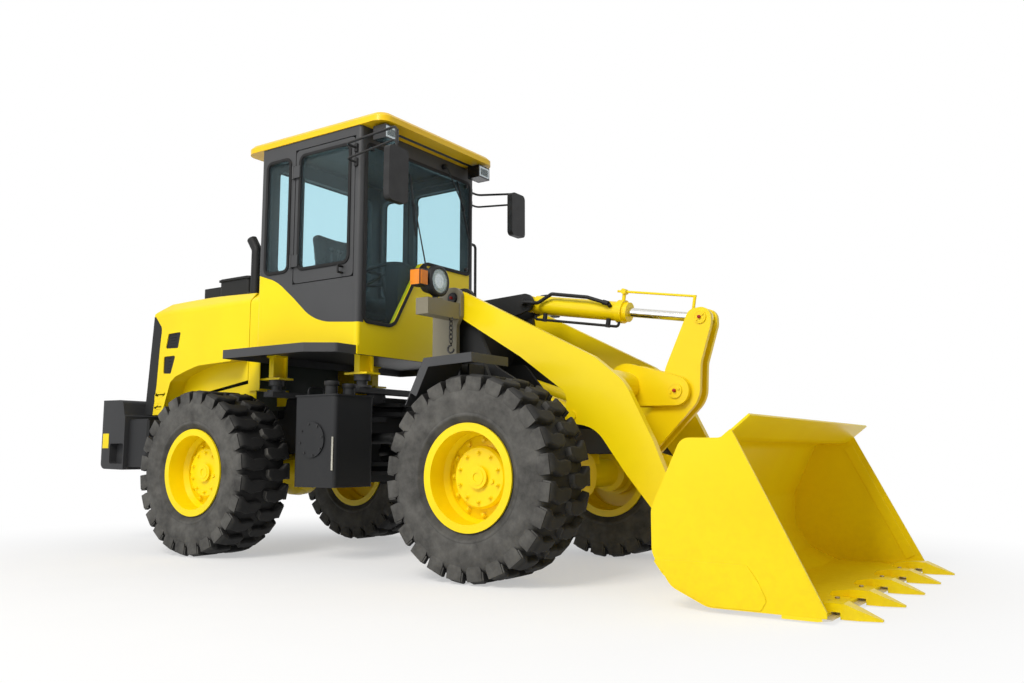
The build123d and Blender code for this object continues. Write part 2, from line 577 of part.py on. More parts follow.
def bucket():
    """Wrapper sheet, side plates, spill guard and the ears for boom and link."""
    x = FRONT_AXLE_X
    half = BUCKET_W / 2
    wrapper = bent_sheet([
        (x + 1528, 827), (x + 1404, 727), (x + 1225, 729), (x + 1078, 420), (x + 1078, 230),
        (x + 1165, 95), (x + 1330, 22), (x + 1800, 22)], BUCKET_SHEET_T, 60,
        -half + BUCKET_SIDE_T - 1, half - BUCKET_SIDE_T + 1)
    body = wrapper
    side = side_plate(bucket_side_outline(), -half, -half + BUCKET_SIDE_T,
                      radius=[6, 20, 60, 90, 90, 90, 120, 2, 2])
    for plate in both_sides(side):
        body += plate
    for y, sign in ((ARM_OUT_Y, -1), (ARM_OUT_Y, 1)):
        for y0 in (y + SIDE_GAP, ARM_IN_Y - SIDE_GAP - 24):
            ear = tangent_plate([(*BUCKET_PIN, 62), (x + 1120, 430, 40), (x + 1120, 180, 40)], 0, 24)
            ear &= block(x + 800, x + 1082, -50, 50, 100, 700)
            low = y0 if sign > 0 else -y0 - 24
            body += Pos(0, low, 0) * ear
        y0, y1 = sorted((sign * (y + SIDE_GAP + 24 + 4), sign * (ARM_IN_Y - SIDE_GAP - 28)))
        body += rod_y(BUCKET_PIN, PIN_R, y0, y1)
    for sign in (-1, 1):
        ear = tangent_plate([(*LINK_PIN, 55), (x + 1140, 600, 30), (x + 1110, 460, 30)], 0, 26)
        ear &= block(x + 900, x + 1600, -50, 50, 300, 700)
        ear -= side_plate([(x + 1700, 22), (x + 1078 + BUCKET_SHEET_T / 2, 22),
                           (x + 1078 + BUCKET_SHEET_T / 2, 420), (x + 1225 + BUCKET_SHEET_T / 2, 729),
                           (x + 1700, 729)], -60, 60)
        low = 31 if sign > 0 else -57
        body += Pos(0, low, 0) * ear
    body += rod_y(LINK_PIN, PIN_R, -61, 61)
    return body


def side_wear_plate():
    """Plate welded on the lower half of a bucket side, right side."""
    x = FRONT_AXLE_X
    outline = [(x + 1092, 204), (x + 1510, 200), (x + 1582, 68), (x + 1556, 30),
               (x + 1342, 30), (x + 1178, 102)]
    half = BUCKET_W / 2
    return side_plate(outline, -half - WEAR_T, -half, radius=[8, 24, 12, 12, 60, 50])


node("bucket_shell", bucket())
node("bucket_wear_plates", both_sides(side_wear_plate()))

def cutting_edge():
    """Bevelled edge plate under the lip."""
    x = FRONT_AXLE_X
    half = BUCKET_W / 2
    return side_plate([(x + 1640, 8), (x + 1780, 8), (x + 1835, 16), (x + 1835, 21.8),
                       (x + 1640, 21.8)], -half, half)


def tooth_adapter(y):
    """Two-step adapter welded over the lip; the tip butts against its nose."""
    x = FRONT_AXLE_X
    body = side_plate([(x + 1672, 32.3), (x + 1690, 52), (x + 1780, 66), (TOOTH_ROOT_X, 66),
                       (TOOTH_ROOT_X, 5), (x + 1835.3, 5), (x + 1835.3, 32.3)],
                      y - 40, y + 40, radius=[4, 20, 30, 1, 1, 1, 1])
    waist = block(x + 1660, x + 1765, -60, -26, 0, 90)
    return body - Pos(0, y, 0) * waist - Pos(0, y, 0) * mirror(waist, Plane.XZ)


def tooth_tip(y):
    """Pointed tip: three rectangular sections from root to point."""
    # distance ahead of the root, width, underside, top
    stations = [(SEAT_GAP, 84, 5, 68), (55, 74, 5, 46), (FRONT_AXLE_X + FRONT_REACH - TOOTH_ROOT_X, 22, 5, 12)]
    faces = []
    for ahead, width, low, high in stations:
        plane = Plane(origin=(TOOTH_ROOT_X + ahead, y, (low + high) / 2), x_dir=(0, 1, 0), z_dir=(1, 0, 0))
        faces.append(plane * Rectangle(width, high - low))
    return loft(faces, ruled=True)


node("cutting_edge", cutting_edge())
for k in range(-2, 3):
    node("bucket_teeth", tooth_adapter(k * TOOTH_PITCH))
    node("bucket_teeth", tooth_tip(k * TOOTH_PITCH))


# ---- cylinders ----------------------------------------------------------
def cylinder_pair(base, end, y, barrel_r, rod_r, barrel_end, tail, eye_r, pin_r, half_width):
    """Barrel and rod of a cylinder lying in an X, Z plane at one Y."""
    length = math.dist(base, end)
    reach = length - barrel_end
    def at(d):
        p = along(base, end, d)
        return (p[0], y, p[1])
    barrel = rod_between(at(eye_r * 0.75), at(reach), barrel_r)
    barrel += rod_y(base, eye_r, y - half_width, y + half_width)
    barrel -= rod_y(base, pin_r + RUN, y - half_width - 1, y + half_width + 1)
    barrel -= rod_between(at(eye_r * 2.2), at(reach + 1), rod_r + RUN)
    rod = rod_between(at(tail), at(length - eye_r * 0.7), rod_r)
    rod += rod_y(end, eye_r, y - half_width, y + half_width)
    rod -= rod_y(end, pin_r + RUN + 1, y - half_width - 1, y + half_width + 1)
    return barrel, rod


TILT_OUT = 460.0            # rod showing ahead of the tilt cylinder's mouth, bucket flat
TILT_LENGTH = math.dist(TILT_BASE, CRANK_TOP)
GLAND = TILT_LENGTH - TILT_OUT
tilt = cylinder_pair(TILT_BASE, CRANK_TOP, 0, 57, 27, TILT_OUT, 490, 50, 24, 25)
node("tilt_cylinder_rod", tilt[1])


def on_tilt(distance, side, above):
    """Point beside the tilt cylinder: along it from its base, across it, and square above."""
    a, b = TILT_BASE, CRANK_TOP
    length = math.dist(a, b)
    ux, uz = (b[0] - a[0]) / length, (b[1] - a[1]) / length
    return (a[0] + ux * distance - uz * above, side, a[1] + uz * distance + ux * above)


gland_ring = rod_between(on_tilt(GLAND - 70, 0, 0), on_tilt(GLAND - 30, 0, 0), 68)
gland_ring -= rod_between(on_tilt(GLAND - 80, 0, 0), on_tilt(GLAND + 10, 0, 0), 40)
guide = rod_between(on_tilt(GLAND - 50, 0, 60), on_tilt(GLAND - 50, 0, 128), 11)
guide += rod_between(on_tilt(GLAND - 50, -22, 118), on_tilt(GLAND - 50, 22, 118), 16)
guide -= rod_between(on_tilt(GLAND - 80, 0, 118), on_tilt(GLAND + 10, 0, 118), 9)
node("tilt_cylinder_barrel", tilt[0] + gland_ring + guide)
indicator = rod_between(on_tilt(GLAND - 95, 0, 118), on_tilt(TILT_LENGTH - 62, 0, 118), 7)
indicator += rod_between(on_tilt(TILT_LENGTH - 70, 0, 124), on_tilt(TILT_LENGTH - 70, 0, 27 + SEAT_GAP), 9)
node("level_indicator", indicator)
pipe_run = [on_tilt(60, -40, -66), on_tilt(60, -40, -92), on_tilt(GLAND - 40, -40, -92),
            on_tilt(GLAND - 40, -40, -64)]
pipe = bent_bar(pipe_run, 8, 18)
for distance in (130, GLAND - 110):
    pipe += rod_between(on_tilt(distance, -40, -102), on_tilt(distance, -40, -51.4), 14)
node("tilt_cylinder_lines", pipe)
hose = bent_bar([on_tilt(GLAND - 110, -78, 34), on_tilt(GLAND - 250, -78, 62), on_tilt(180, -78, 66),
                 on_tilt(90, -80, 4), on_tilt(88, -124, 0), on_tilt(0, -124, 0)], 11, 20)
hose += rod_between(on_tilt(GLAND - 104, -78, 33), on_tilt(GLAND - 140, -78, 40), 15)
hose += rod_between(on_tilt(GLAND - 104, -78, 33), on_tilt(GLAND - 104, -54.6, 21.8), 12)
hose += rod_y(TILT_BASE, 20, -134, -111)
node("tilt_cylinder_lines", hose)

for sign in (-1, 1):
    lift = cylinder_pair(LIFT_BASE, LIFT_ROD, sign * LIFT_Y, 46, 25, 90, 101, 42, 24, 40)
    node("lift_cylinder_barrels", lift[0])
    node("lift_cylinder_rods", lift[1])


def steering_cylinder(sign):
    """Steering cylinder barrel and rod between the two half frames."""
    base = (STEER_BASE[0], sign * STEER_BASE[1], STEER_Z)
    end = (STEER_ROD[0], sign * STEER_ROD[1], STEER_Z)
    a, b = Vector(*base), Vector(*end)
    direction = (b - a).normalized()
    length = (b - a).length
    def at(d):
        return tuple(a + direction * d)
    barrel = rod_between(at(28), at(length - 240), 34)
    barrel += rod_z(base[0], base[1], 33, STEER_Z - 23, STEER_Z + 23)
    barrel -= rod_z(base[0], base[1], 20 + RUN, STEER_Z - 30, STEER_Z + 30)
    barrel -= rod_between(at(75), at(length), 18 + RUN)
    rod = rod_between(at(265), at(length - 26), 18)
    rod += rod_z(end[0], end[1], 34, STEER_Z - 20, STEER_Z + 20)
    rod -= rod_z(end[0], end[1], 20, STEER_Z - 30, STEER_Z + 30)
    return barrel, rod


for label, sign in (("right", -1), ("left", 1)):
    barrel, rod = steering_cylinder(sign)
    node("steering_barrel_" + label, barrel)
    node("steering_rod_" + label, rod)


# ---- rear body ----------------------------------------------------------
def counterweight():
    """Cast tail weight, chamfered underneath and tapered in plan."""
    x = TAIL_X
    body = side_plate([(x + 2, 700), (x + 2, 1036), (x + 80, 1064), (x + 390, 1060), (x + 420, 940),
                       (x + 468, 930), (x + 468, 900), (x + 428, 900), (x + 428, 540), (x + 170, 545)],
                      -680, 680, radius=[20, 30, 30, 40, 20, 5, 5, 5, 10, 60])
    plan = top_plate([(x, -520), (x + 130, -680), (x + 600, -680), (x + 600, 680),
                      (x + 130, 680), (x, 520)], 400, 1200, radius=[60, 60, 1, 1, 60, 60])
    hitch = block(x - 10, x + 170, -70, 70, 760, 840) + rod_z(x + 100, 0, TOW_PIN_R, 700, 1100)
    body = (body & plan) - hitch
    for side in (-1, 1):
        pocket = side_plate([(x + 249, 585), (x + 249, 735), (x + 420, 735), (x + 420, 585)],
                            620, 700, radius=18)
        body -= pocket if side > 0 else mirror(pocket, Plane.XZ)
        body -= block(x - 5, x + 22, side * 470 - 105, side * 470 + 105, 905, 985)
        y0, y1 = sorted((side * (AXLE_PAD_Y + 20), side * 700))
        body -= block(x + 428, x + 480, y0, y1, 880, 960)
    return body


def battery_box(side):
    """Closed box between the tail weight and the rear wheel."""
    y0, y1 = sorted((side * (AXLE_PAD_Y + 20 + SEAT_GAP), side * 650))
    x0, x1 = TAIL_X + 428 + SEAT_GAP, TAIL_X + 670
    box = block(x0, x1, y0, y1, 560, 905)
    box = chamfer(box.edges().filter_by(Axis.Z), 14)
    lid = block(x0 + 6, x1 - 6, y0 + 6, y1 - 6, 904, 915)
    return box + lid


node("counterweight", counterweight())
node("battery_boxes", battery_box(-1), battery_box(1))
node("engine_block", block(REAR_AXLE_X - 560, REAR_AXLE_X + 120, -260, 260, ENGINE_Z, 1560))


gear_x = PIVOT_X - 650
gearbox = block(REAR_AXLE_X + 205, gear_x - 60, -210, 210, 700, 940)
gearbox = fillet(gearbox.edges().filter_by(Axis.X), 40)
gearbox += block(gear_x - 158, gear_x - 22, -120, 120, AXLE_Z - 64, 760)
gearbox += Pos(REAR_AXLE_X + 296 + SEAT_GAP + 8, 0, AXLE_Z) * Rot(0, 90, 0) * Cylinder(52, 16)
gearbox += block(REAR_AXLE_X + 230, REAR_AXLE_X + 300, -AXLE_PAD_Y + 5, AXLE_PAD_Y - 5, 800, 860)
gearbox += Pos(gear_x - 14, 0, GEARBOX_OUT_Z) * Rot(0, 90, 0) * Cylinder(56, 18)
node("engine_block", gearbox)


def drive_shaft(a, b):
    """Tube with a flange at a and a yoke at b."""
    a, b = Vector(*a), Vector(*b)
    way = (b - a).normalized()
    body = rod_between(tuple(a + way * 14), tuple(b - way * 20), SHAFT_R * 0.72)
    body += rod_between(tuple(a), (a.X + math.copysign(20, way.X), a.Y, a.Z), 56)
    body += rod_between(tuple(b - way * 60), tuple(b), SHAFT_R)
    return body


node("rear_drive_shaft", drive_shaft((gear_x - 5 + SEAT_GAP, 0, GEARBOX_OUT_Z),
                                     (PIVOT_X - 40, 0, shaft_z(PIVOT_X - 40))))
front_flange_x = FRONT_AXLE_X - 296 - SEAT_GAP
node("front_drive_shaft", drive_shaft((front_flange_x, 0, AXLE_Z),
                                      (PIVOT_X + 40, 0, shaft_z(PIVOT_X + 40))))
node("engine_block", block(HOOD_REAR_X + 100, HOOD_REAR_X + 160, -380, 380, 1000, 1610)
     + block(HOOD_REAR_X + 110, HOOD_REAR_X + 150, -300, 300, 900.3, 1005))


def hydraulic_tank():
    """Pressed steel tank under the platform, right side, with two filler necks."""
    x0, x1 = PIVOT_X - 320, PIVOT_X + 32
    tank = block(x0, x1, -785, -TANK_IN_Y, 457, 1015)
    tank = fillet(tank.edges().filter_by(Axis.Z), 28)
    tank += Pos(x0 + 160, -785 - 5, 743) * Rot(90, 0, 0) * Cylinder(108, 10)
    tank += rod_z(x0 + 230, -700, 38, 1014, 1075)
    tank += rod_z(x0 + 290, -610, 38, 1014, 1060)
    tank += block(x0 + 20, x1 - 20, -TANK_IN_Y - 10, -AXLE_PAD_Y - 20 - SEAT_GAP, 860, 890)
    lid = block(x0 - 6, x1 + 6, -791, -TANK_IN_Y + 6, 1008, 1017)
    tank += fillet(lid.edges().filter_by(Axis.Z), 30)
    tank += bent_bar([(x0 + 60, -730, 1010), (x0 + 60, -730, 1070), (x0 + 60, -600, 1070),
                      (x0 + 60, -600, 1010)], 5, 30)
    return tank


node("tanks", hydraulic_tank())


def fuel_tank():
    """Fuel tank on the left, behind the steps."""
    x0, x1 = PIVOT_X - 320, PIVOT_X + 32
    tank = block(x0, x1, TANK_IN_Y, 600, 457, 1015)
    tank = fillet(tank.edges().filter_by(Axis.Z), 28)
    tank += block(x0 + 20, x1 - 20, AXLE_PAD_Y + 20 + SEAT_GAP, TANK_IN_Y + 10, 860, 890)
    return tank


def left_steps():
    """Two hung steps in front of the fuel tank."""
    x0, x1 = PIVOT_X - 310, PIVOT_X + 20
    body = block(x0, x0 + 8, STEP_IN_Y, 785, 440, DECK_Z - 8 - SEAT_GAP)
    body += block(x1 - 8, x1, STEP_IN_Y, 785, 440, DECK_Z - 8 - SEAT_GAP)
    for z in (450, 730, 1010):
        body += block(x0 + 4, x1 - 4, STEP_IN_Y, 785, z, z + 30)
    return body


node("tanks", fuel_tank())
node("steps_and_rails", left_steps())


def platform_outline(inset):
    """Deck in plan: wide beside the engine, corners drawn in to the cab's front."""
    x0, x1 = CAB_REAR_X + inset, CAB_FRONT_X - 14 - inset
    half = DECK_W / 2 - inset
    turn = inset * 0.41
    return [(x0, -half), (x1 - 170 + turn, -half), (x1, -half + 120 + turn), (x1, half - 120 - turn),
            (x1 - 170 + turn, half), (x0, half)]


def platform():
    """Deck plate with turned down skirts, on two cross beams."""
    deck = top_plate(platform_outline(0), DECK_Z - 56, DECK_Z, radius=[20, 40, 30, 30, 40, 20])
    hollow = top_plate(platform_outline(8), DECK_Z - 60, DECK_Z - 8, radius=[14, 34, 24, 24, 34, 14])
    return deck - hollow


def cab_mount(x, y):
    """Channel bracket under the deck with a foot flange."""
    body = block(x - 50, x + 50, y - 50, y + 50, 1160, DECK_Z - 8 - SEAT_GAP)
    for side in (-1, 1):
        body -= block(x + side * 70 - 48, x + side * 70 + 48, y - 60, y + 38, 1172, DECK_Z - 20)
    return body + block(x - 96, x + 96, y - 62, y + 62, 1156, 1168)


def cab_isolator(x, y):
    """Rubber mount between the cab bracket and the cross beam."""
    return (rod_z(x, y, 52, 1118, 1156 - SEAT_GAP) + rod_z(x, y, 34, 1080, 1120)
            + rod_z(x, y, 60, CAB_BEAM_Z + 35 + SEAT_GAP, 1088))


for x in (CAB_REAR_X + 70, CAB_FRONT_X - 75):
    node("platform", block(x - 45, x + 45, -540, 540, CAB_BEAM_Z + SEAT_GAP, CAB_BEAM_Z + 35))
    for y in (-CAB_MOUNT_Y, CAB_MOUNT_Y):
        bracket = cab_mount(x, y)
        node("cab_mounts", bracket if y < 0 else mirror(cab_mount(x, -y), Plane.XZ))
        node("platform", cab_isolator(x, y))


node("platform", platform())


def cab_box(inset, z0, z1):
    """Cab outline in plan, drawn in by inset."""
    half = CAB_W / 2 - inset
    return top_plate([(CAB_REAR_X + inset, -half), (CAB_FRONT_X - inset, -half),
                      (CAB_FRONT_X - inset, half), (CAB_REAR_X + inset, half)],
                     z0, z1, radius=25)


def front_glass_outline(inset):
    """Windscreen with a low pane on the right, Y and Z."""
    half = CAB_W / 2 - 50 - inset
    low, sill, head = SCREEN_LOW_Z + inset, SCREEN_SILL_Z + inset, WINDOW_HEAD_Z - inset
    return [(-half, head), (-half, low), (-268 - inset, low), (22 - inset, sill),
            (half, sill), (half, head)]


SCREEN_ROUNDING = [60, 60, 70, 50, 60, 60]


def base_space(gap):
    """Space of the cab's yellow base: under a line that sweeps down from the hood."""
    rear, front = CAB_REAR_X, CAB_FRONT_X
    line = [(rear - 5, 1872 - gap), (rear + 190, 1808 - gap), (rear + 357, 1678 - gap),
            (rear + 519, 1540 - gap), (rear + 655, 1498 - gap), (front - 40, BASE_LINE_Z - gap),
            (front + 5, BASE_LINE_Z - gap), (front + 5, DECK_Z - 80), (rear - 5, DECK_Z - 80)]
    space = side_plate(line, -CAB_W, CAB_W, radius=[0, 400, 1500, 400, 450, 300, 0, 0, 0])
    half = CAB_W / 2 - 52 - gap
    return space + block(front - CAB_WALL - 5, front + 5, -half, half, BASE_LINE_Z - 60,
                         SCREEN_SILL_Z - gap)


def cab_shell():
    """Cab walls with door openings and windows cut through."""
    body = cab_box(0, CAB_FLOOR_Z, CAB_TOP_Z) - cab_box(CAB_WALL, CAB_FLOOR_Z + 6, CAB_TOP_Z + 1)
    half = CAB_W / 2
    windows = [(CAB_REAR_X + 70, CAB_REAR_X + 290)]
    for x0, x1 in windows:
        opening = side_plate([(x0, WINDOW_SILL_Z), (x1, WINDOW_SILL_Z), (x1, WINDOW_HEAD_Z),
                              (x0, WINDOW_HEAD_Z)], -half - 10, half + 10, radius=45)
        body -= opening
    body -= end_plate(front_glass_outline(0), CAB_FRONT_X - 60, CAB_FRONT_X + 10,
                      radius=SCREEN_ROUNDING)
    rear_y = half - 130
    body -= end_plate([(-rear_y, 1900), (rear_y, 1900), (rear_y, WINDOW_HEAD_Z), (-rear_y, WINDOW_HEAD_Z)],
                      CAB_REAR_X - 10, CAB_REAR_X + 60, radius=50)
    body -= block(DOOR_REAR_X, DOOR_FRONT_X, -half - 10, -half + CAB_WALL + 10, *HATCH_Z)
    body -= block(DOOR_REAR_X, DOOR_FRONT_X, half - CAB_WALL - 10, half + 10, *DOOR_Z)
    return body


def wall_panels(body):
    """Cab body parted into front, rear, side and floor panels, a hairline apart."""
    rear, front = CAB_REAR_X + CAB_WALL, CAB_FRONT_X - CAB_WALL
    wide, inner = CAB_W / 2 + 5, CAB_W / 2 - CAB_WALL
    low, high, seam = DECK_Z - 100, CAB_TOP_Z + 5, SEAT_GAP
    spaces = [block(front, CAB_FRONT_X + 5, -wide, wide, low, high),
              block(CAB_REAR_X - 5, rear, -wide, wide, low, high),
              block(rear + seam, front - seam, inner, wide, low, high),
              block(rear + seam, front - seam, -wide, -inner, low, high),
              block(rear + seam, front - seam, -inner + seam, inner - seam, low, CAB_FLOOR_Z + 7)]
    return [panel for panel in (body & space for space in spaces) if panel and panel.volume > 100]


whole_cab = cab_shell()
apron = block(CAB_FRONT_X - 12, CAB_FRONT_X, -CAB_W / 2 + 4, CAB_W / 2 - 4, DECK_Z - 54, DECK_Z + 2)
node("cab_shell", *wall_panels(whole_cab - base_space(0)))
node("cab_base", *wall_panels((whole_cab & base_space(SEAT_GAP)) + apron))
node("cab_consoles", cab_box(CAB_WALL + 8, CAB_FLOOR_Z + 6, CAB_FLOOR_Z + 10))

roof = top_plate([(CAB_REAR_X - 170, -610), (CAB_FRONT_X + 190, -610),
                  (CAB_FRONT_X + 190, 610), (CAB_REAR_X - 170, 610)],
                 CAB_TOP_Z, CAB_TOP_Z + ROOF_T, radius=90)
roof = chamfer(roof.edges().group_by(Axis.Z)[-1], 24)
for x, y in ((CAB_REAR_X + 60, -380), (CAB_REAR_X + 60, 380), (CAB_FRONT_X + 40, -380), (CAB_FRONT_X + 40, 380)):
    roof += Pos(x, y, CAB_TOP_Z + ROOF_T + 25) * Rot(90, 0, 0) * Torus(20, 6)
    roof += rod_z(x, y, 14, CAB_TOP_Z + ROOF_T - 2, CAB_TOP_Z + ROOF_T + 6)
node("cab_roof", roof)


def pane_side(x0, x1, z0, z1, y0, y1, radius):
    """Flat pane filling a window in a side wall."""
    g = SEAT_GAP
    return side_plate([(x0 + g, z0 + g), (x1 - g, z0 + g), (x1 - g, z1 - g), (x0 + g, z1 - g)],
                      y0, y1, radius=radius)


for sign in (-1, 1):
    y0, y1 = sorted((sign * (CAB_W / 2 - 20), sign * (CAB_W / 2 - 20 - GLASS_T)))
    node("cab_glass", pane_side(CAB_REAR_X + 70, CAB_REAR_X + 290, WINDOW_SILL_Z, WINDOW_HEAD_Z,
                                y0, y1, 44))
node("cab_glass", end_plate(front_glass_outline(SEAT_GAP), CAB_FRONT_X - 26, CAB_FRONT_X - 20,
                            radius=SCREEN_ROUNDING))
rear_y = CAB_W / 2 - 130 - SEAT_GAP
node("cab_glass", end_plate([(-rear_y, 1900 + SEAT_GAP), (rear_y, 1900 + SEAT_GAP),
                             (rear_y, WINDOW_HEAD_Z - SEAT_GAP), (-rear_y, WINDOW_HEAD_Z - SEAT_GAP)],
                            CAB_REAR_X + 20, CAB_REAR_X + 26, radius=50))


def door(sign, z_range, sill):
    """Door frame with its window cut, the pane, and two outside hinges."""
    half = CAB_W / 2
    x0, x1 = DOOR_REAR_X + DOOR_GAP, DOOR_FRONT_X - DOOR_GAP
    z0, z1 = z_range[0] + DOOR_GAP, z_range[1] - DOOR_GAP
    out_y, in_y = half - 1, half - CAB_WALL + 6
    y0, y1 = sorted((sign * out_y, sign * in_y))
    frame = side_plate([(x0, z0), (x1, z0), (x1, z1), (x0, z1)], y0, y1, radius=30)
    w = (x0 + DOOR_FRAME, x1 - DOOR_FRAME, sill, z1 - DOOR_FRAME)
    frame -= side_plate([(w[0], w[2]), (w[1], w[2]), (w[1], w[3]), (w[0], w[3])],
                        y0 - 5, y1 + 5, radius=45)
    for z in (z0 + 150, z1 - 150):
        frame += Pos(x0 - 16, sign * (half + 12), z) * Cylinder(9, 90)
        a, b = sorted((sign * (half + SEAT_GAP), sign * (half + 16)))
        frame += block(x0 - 16, x0 + 50, a, b, z - 40, z + 40)
        a, b = sorted((sign * (half - 2), sign * (half + 1)))
        frame += block(x0 + 1, x0 + 48, a, b, z - 40, z + 40)
    g0, g1 = sorted((sign * (half - 20), sign * (half - 20 - GLASS_T)))
    glass = pane_side(w[0], w[1], w[2], w[3], g0, g1, 44)
    return frame, glass


for label, sign, z_range, sill in (("side_hatch_right", -1, HATCH_Z, 1870.0),
                                   ("door_left", 1, DOOR_Z, 1870.0)):
    frame, glass = door(sign, z_range, sill)
    if sign > 0:
        node(label + "_base", frame & base_space(SEAT_GAP))
        frame -= base_space(0)
    node(label, frame)
    node(label + "_glass", glass)


def hood_body(inset, drop):
    """Solid envelope of the hood, drawn in by inset; drop lengthens it below."""
    x0, x1 = HOOD_REAR_X, HOOD_FRONT_X
    w = HOOD_W / 2 - inset
    top, shoulder = HOOD_TOP_Z - inset, 1715 - inset * 0.6
    bar = end_plate([(-w, 900 - drop), (-w, shoulder), (-w + 75, top), (w - 75, top),
                     (w, shoulder), (w, 900 - drop)], x0, x1 + drop, radius=[0, 60, 60, 60, 60, 0])
    keep = side_plate([
        (x0 + inset, 945 - drop), (x0 + 70 + inset, 1712 - inset), (x0 + 200, 1782 - inset),
        (x0 + 600, top), (x1 + drop, top - 25), (x1 + drop, 1160 - drop),
        (x1 - 470, 1090 - drop), (x0 + 330, 1090 - drop), (x0 + 300, 945 - drop)],
        -w - 20, w + 20)
    return bar & keep


# side openings in the hood: four corners, X and Z
HOOD_VENTS = [
    [(-2189, 1438), (-2162, 1548), (-2014, 1553), (-2040, 1434)],
    [(-2206, 1252), (-2205, 1379), (-2066, 1381), (-2114, 1247)],
]


def hood():
    """Hood shell, open below and towards the cab, with its hinge lugs and side openings."""
    shell = hood_body(0, 0) - hood_body(6, 60)
    x0 = HOOD_REAR_X + 6
    for corners in HOOD_VENTS:
        shell -= side_plate(corners, -HOOD_W, HOOD_W, radius=14)
    shell -= block(x0 - 40, x0 + 60, -HOOD_W / 2 + 8, HOOD_W / 2 - 8, 900, HOOD_SPLIT_Z + 3)
    return shell


def hood_knuckle(y0, y1, z0, z1, bore):
    """One barrel of a hood hinge with its leaf between two heights."""
    x = HOOD_HINGE[0]
    body = rod_y(HOOD_HINGE, HOOD_KNUCKLE_R, y0, y1) + block(x, x + 17, y0, y1, z0, z1)
    return body - rod_y(HOOD_HINGE, bore, y0 - 1, y1 + 1) if bore else body


def tail_skirt():
    """Fixed foot of the rear wall, its brackets, and the standing halves of the hinges."""
    x0 = HOOD_REAR_X
    body = hood_body(0, 0) - hood_body(6, 60)
    body &= block(x0 - 20, x0 + 66, -HOOD_W / 2 + 14, HOOD_W / 2 - 14, 900, HOOD_SPLIT_Z - 3)
    for side in (-1, 1):
        y0, y1 = sorted((side * HOOD_LUG_Y, side * (HOOD_LUG_Y + 30)))
        body += hood_knuckle(y0, y1, 1046, HOOD_SPLIT_Z, 0)
        a, b = sorted((side * (HOOD_LUG_Y - 34), side * (HOOD_LUG_Y + 1)))
        body -= rod_y(HOOD_HINGE, HOOD_KNUCKLE_R + 3, *sorted((side * (HOOD_LUG_Y - 38), side * HOOD_LUG_Y)))
        body += rod_y(HOOD_HINGE, HOOD_PIN_R, a, b)
        y0, y1 = sorted((side * (AXLE_PAD_Y - 5), side * (AXLE_PAD_Y + 20)))
        body += side_plate([(x0 + 9, 1080), (x0 + 20, 1080), (x0 + 70, 900 + SEAT_GAP), (x0 + 4, 900 + SEAT_GAP)],
                           y0, y1)
    return body


def tail_space(gap):
    """Space of the dark rear panel that wraps round the hood's rear corners."""
    x0 = HOOD_REAR_X
    return side_plate([(x0 - 90, 900), (x0 + 92 - gap, 900), (x0 + 131 - gap, 1167),
                       (x0 + 150 - gap, 1436), (x0 + 169 - gap, 1598), (x0 + 84, 1690 - gap),
                       (x0 - 90, 1690 - gap)], -HOOD_W, HOOD_W, radius=[0, 0, 300, 300, 60, 20, 0])


def rear_panel(shell):
    """Dark rear panel with rows of cooling slots."""
    panel = shell & tail_space(SEAT_GAP)
    for row in range(9):
        z = 1150 + row * 56
        for y in (-185, 185):
            panel -= end_plate([(y - 165, z), (y + 165, z), (y + 165, z + 30), (y - 165, z + 30)],
                               HOOD_REAR_X - 20, HOOD_REAR_X + 110, radius=12)
    return panel


def vent_louvre(corners):
    """Louvred insert behind a hood opening, right side."""
    xs, zs = [c[0] for c in corners], [c[1] for c in corners]
    skin = -HOOD_W / 2 + 6 + SEAT_GAP
    low, high = min(zs) + 20, max(zs) - 16
    plate = block(min(xs) - 16, max(xs) + 16, skin, skin + 3, min(zs) - 16, max(zs) + 16)
    for k in range(5):
        z = low + k * (high - low) / 4
        plate += Pos(0, skin - 1, z) * Rot(-35, 0, 0) * block(min(xs) + 40, max(xs) - 60, -2.5, 2.5, -1.5, 1.5)
    return plate


def intake_box():
    """Air cleaner box on the hood, lower at its back."""
    z0 = HOOD_TOP_Z + SEAT_GAP
    main = block(-1800, -1475, -400, -60, z0, 1945)
    back = block(-2020, -1790, -380, -80, z0, 1895)
    main = fillet(main.edges().filter_by(Axis.Z), 30)
    back = fillet(back.edges().filter_by(Axis.Z), 40)
    lid = block(-1812, -1463, -412, -48, 1925, 1938)
    return main + back + fillet(lid.edges().filter_by(Axis.Z), 36)


def cowl():
    """Fixed yellow arch between the hood and the cab, with the panels over the tyres."""
    x0, x1 = HOOD_FRONT_X + 6, CAB_REAR_X - 1
    sections = []
    for inset in (0, 6):
        w = HOOD_W / 2 - inset
        top, shoulder, foot = HOOD_TOP_Z - 25 - inset, 1715 - inset * 0.6, 1086 - inset * 3
        sections.append([(-w, foot), (-w, shoulder), (-w + 75, top), (w - 75, top), (w, shoulder), (w, foot)])
    arch = end_plate(sections[0], x0, x1, radius=[0, 60, 60, 60, 60, 0])
    arch -= end_plate(sections[1], x0 - 1, x1 + 1, radius=[0, 54, 54, 54, 54, 0])
    for side in (-1, 1):
        y0, y1 = sorted((side * (AXLE_PAD_Y - 4), side * (HOOD_W / 2 - 5)))
        arch += block(x0 + 10, x1 - 10, y0, y1, 1087, 1099)
        y0, y1 = sorted((side * (AXLE_PAD_Y - 4), side * (AXLE_PAD_Y + 18)))
        arch += block(x0 + 10, x1 - 10, y0, y1, 988.7 + SEAT_GAP, 1090)
        panel = side_plate([(x0 - 474, 1078), (x0 + 60, 1148), (x0 + 60, 960), (x0 - 474, 960)],
                           534, 540, radius=[20, 2, 30, 60])
        panel += block(x0 - 4, x0 + 60, 534, 557, 1110, 1116)
        arch += panel if side > 0 else mirror(panel, Plane.XZ)
    return arch


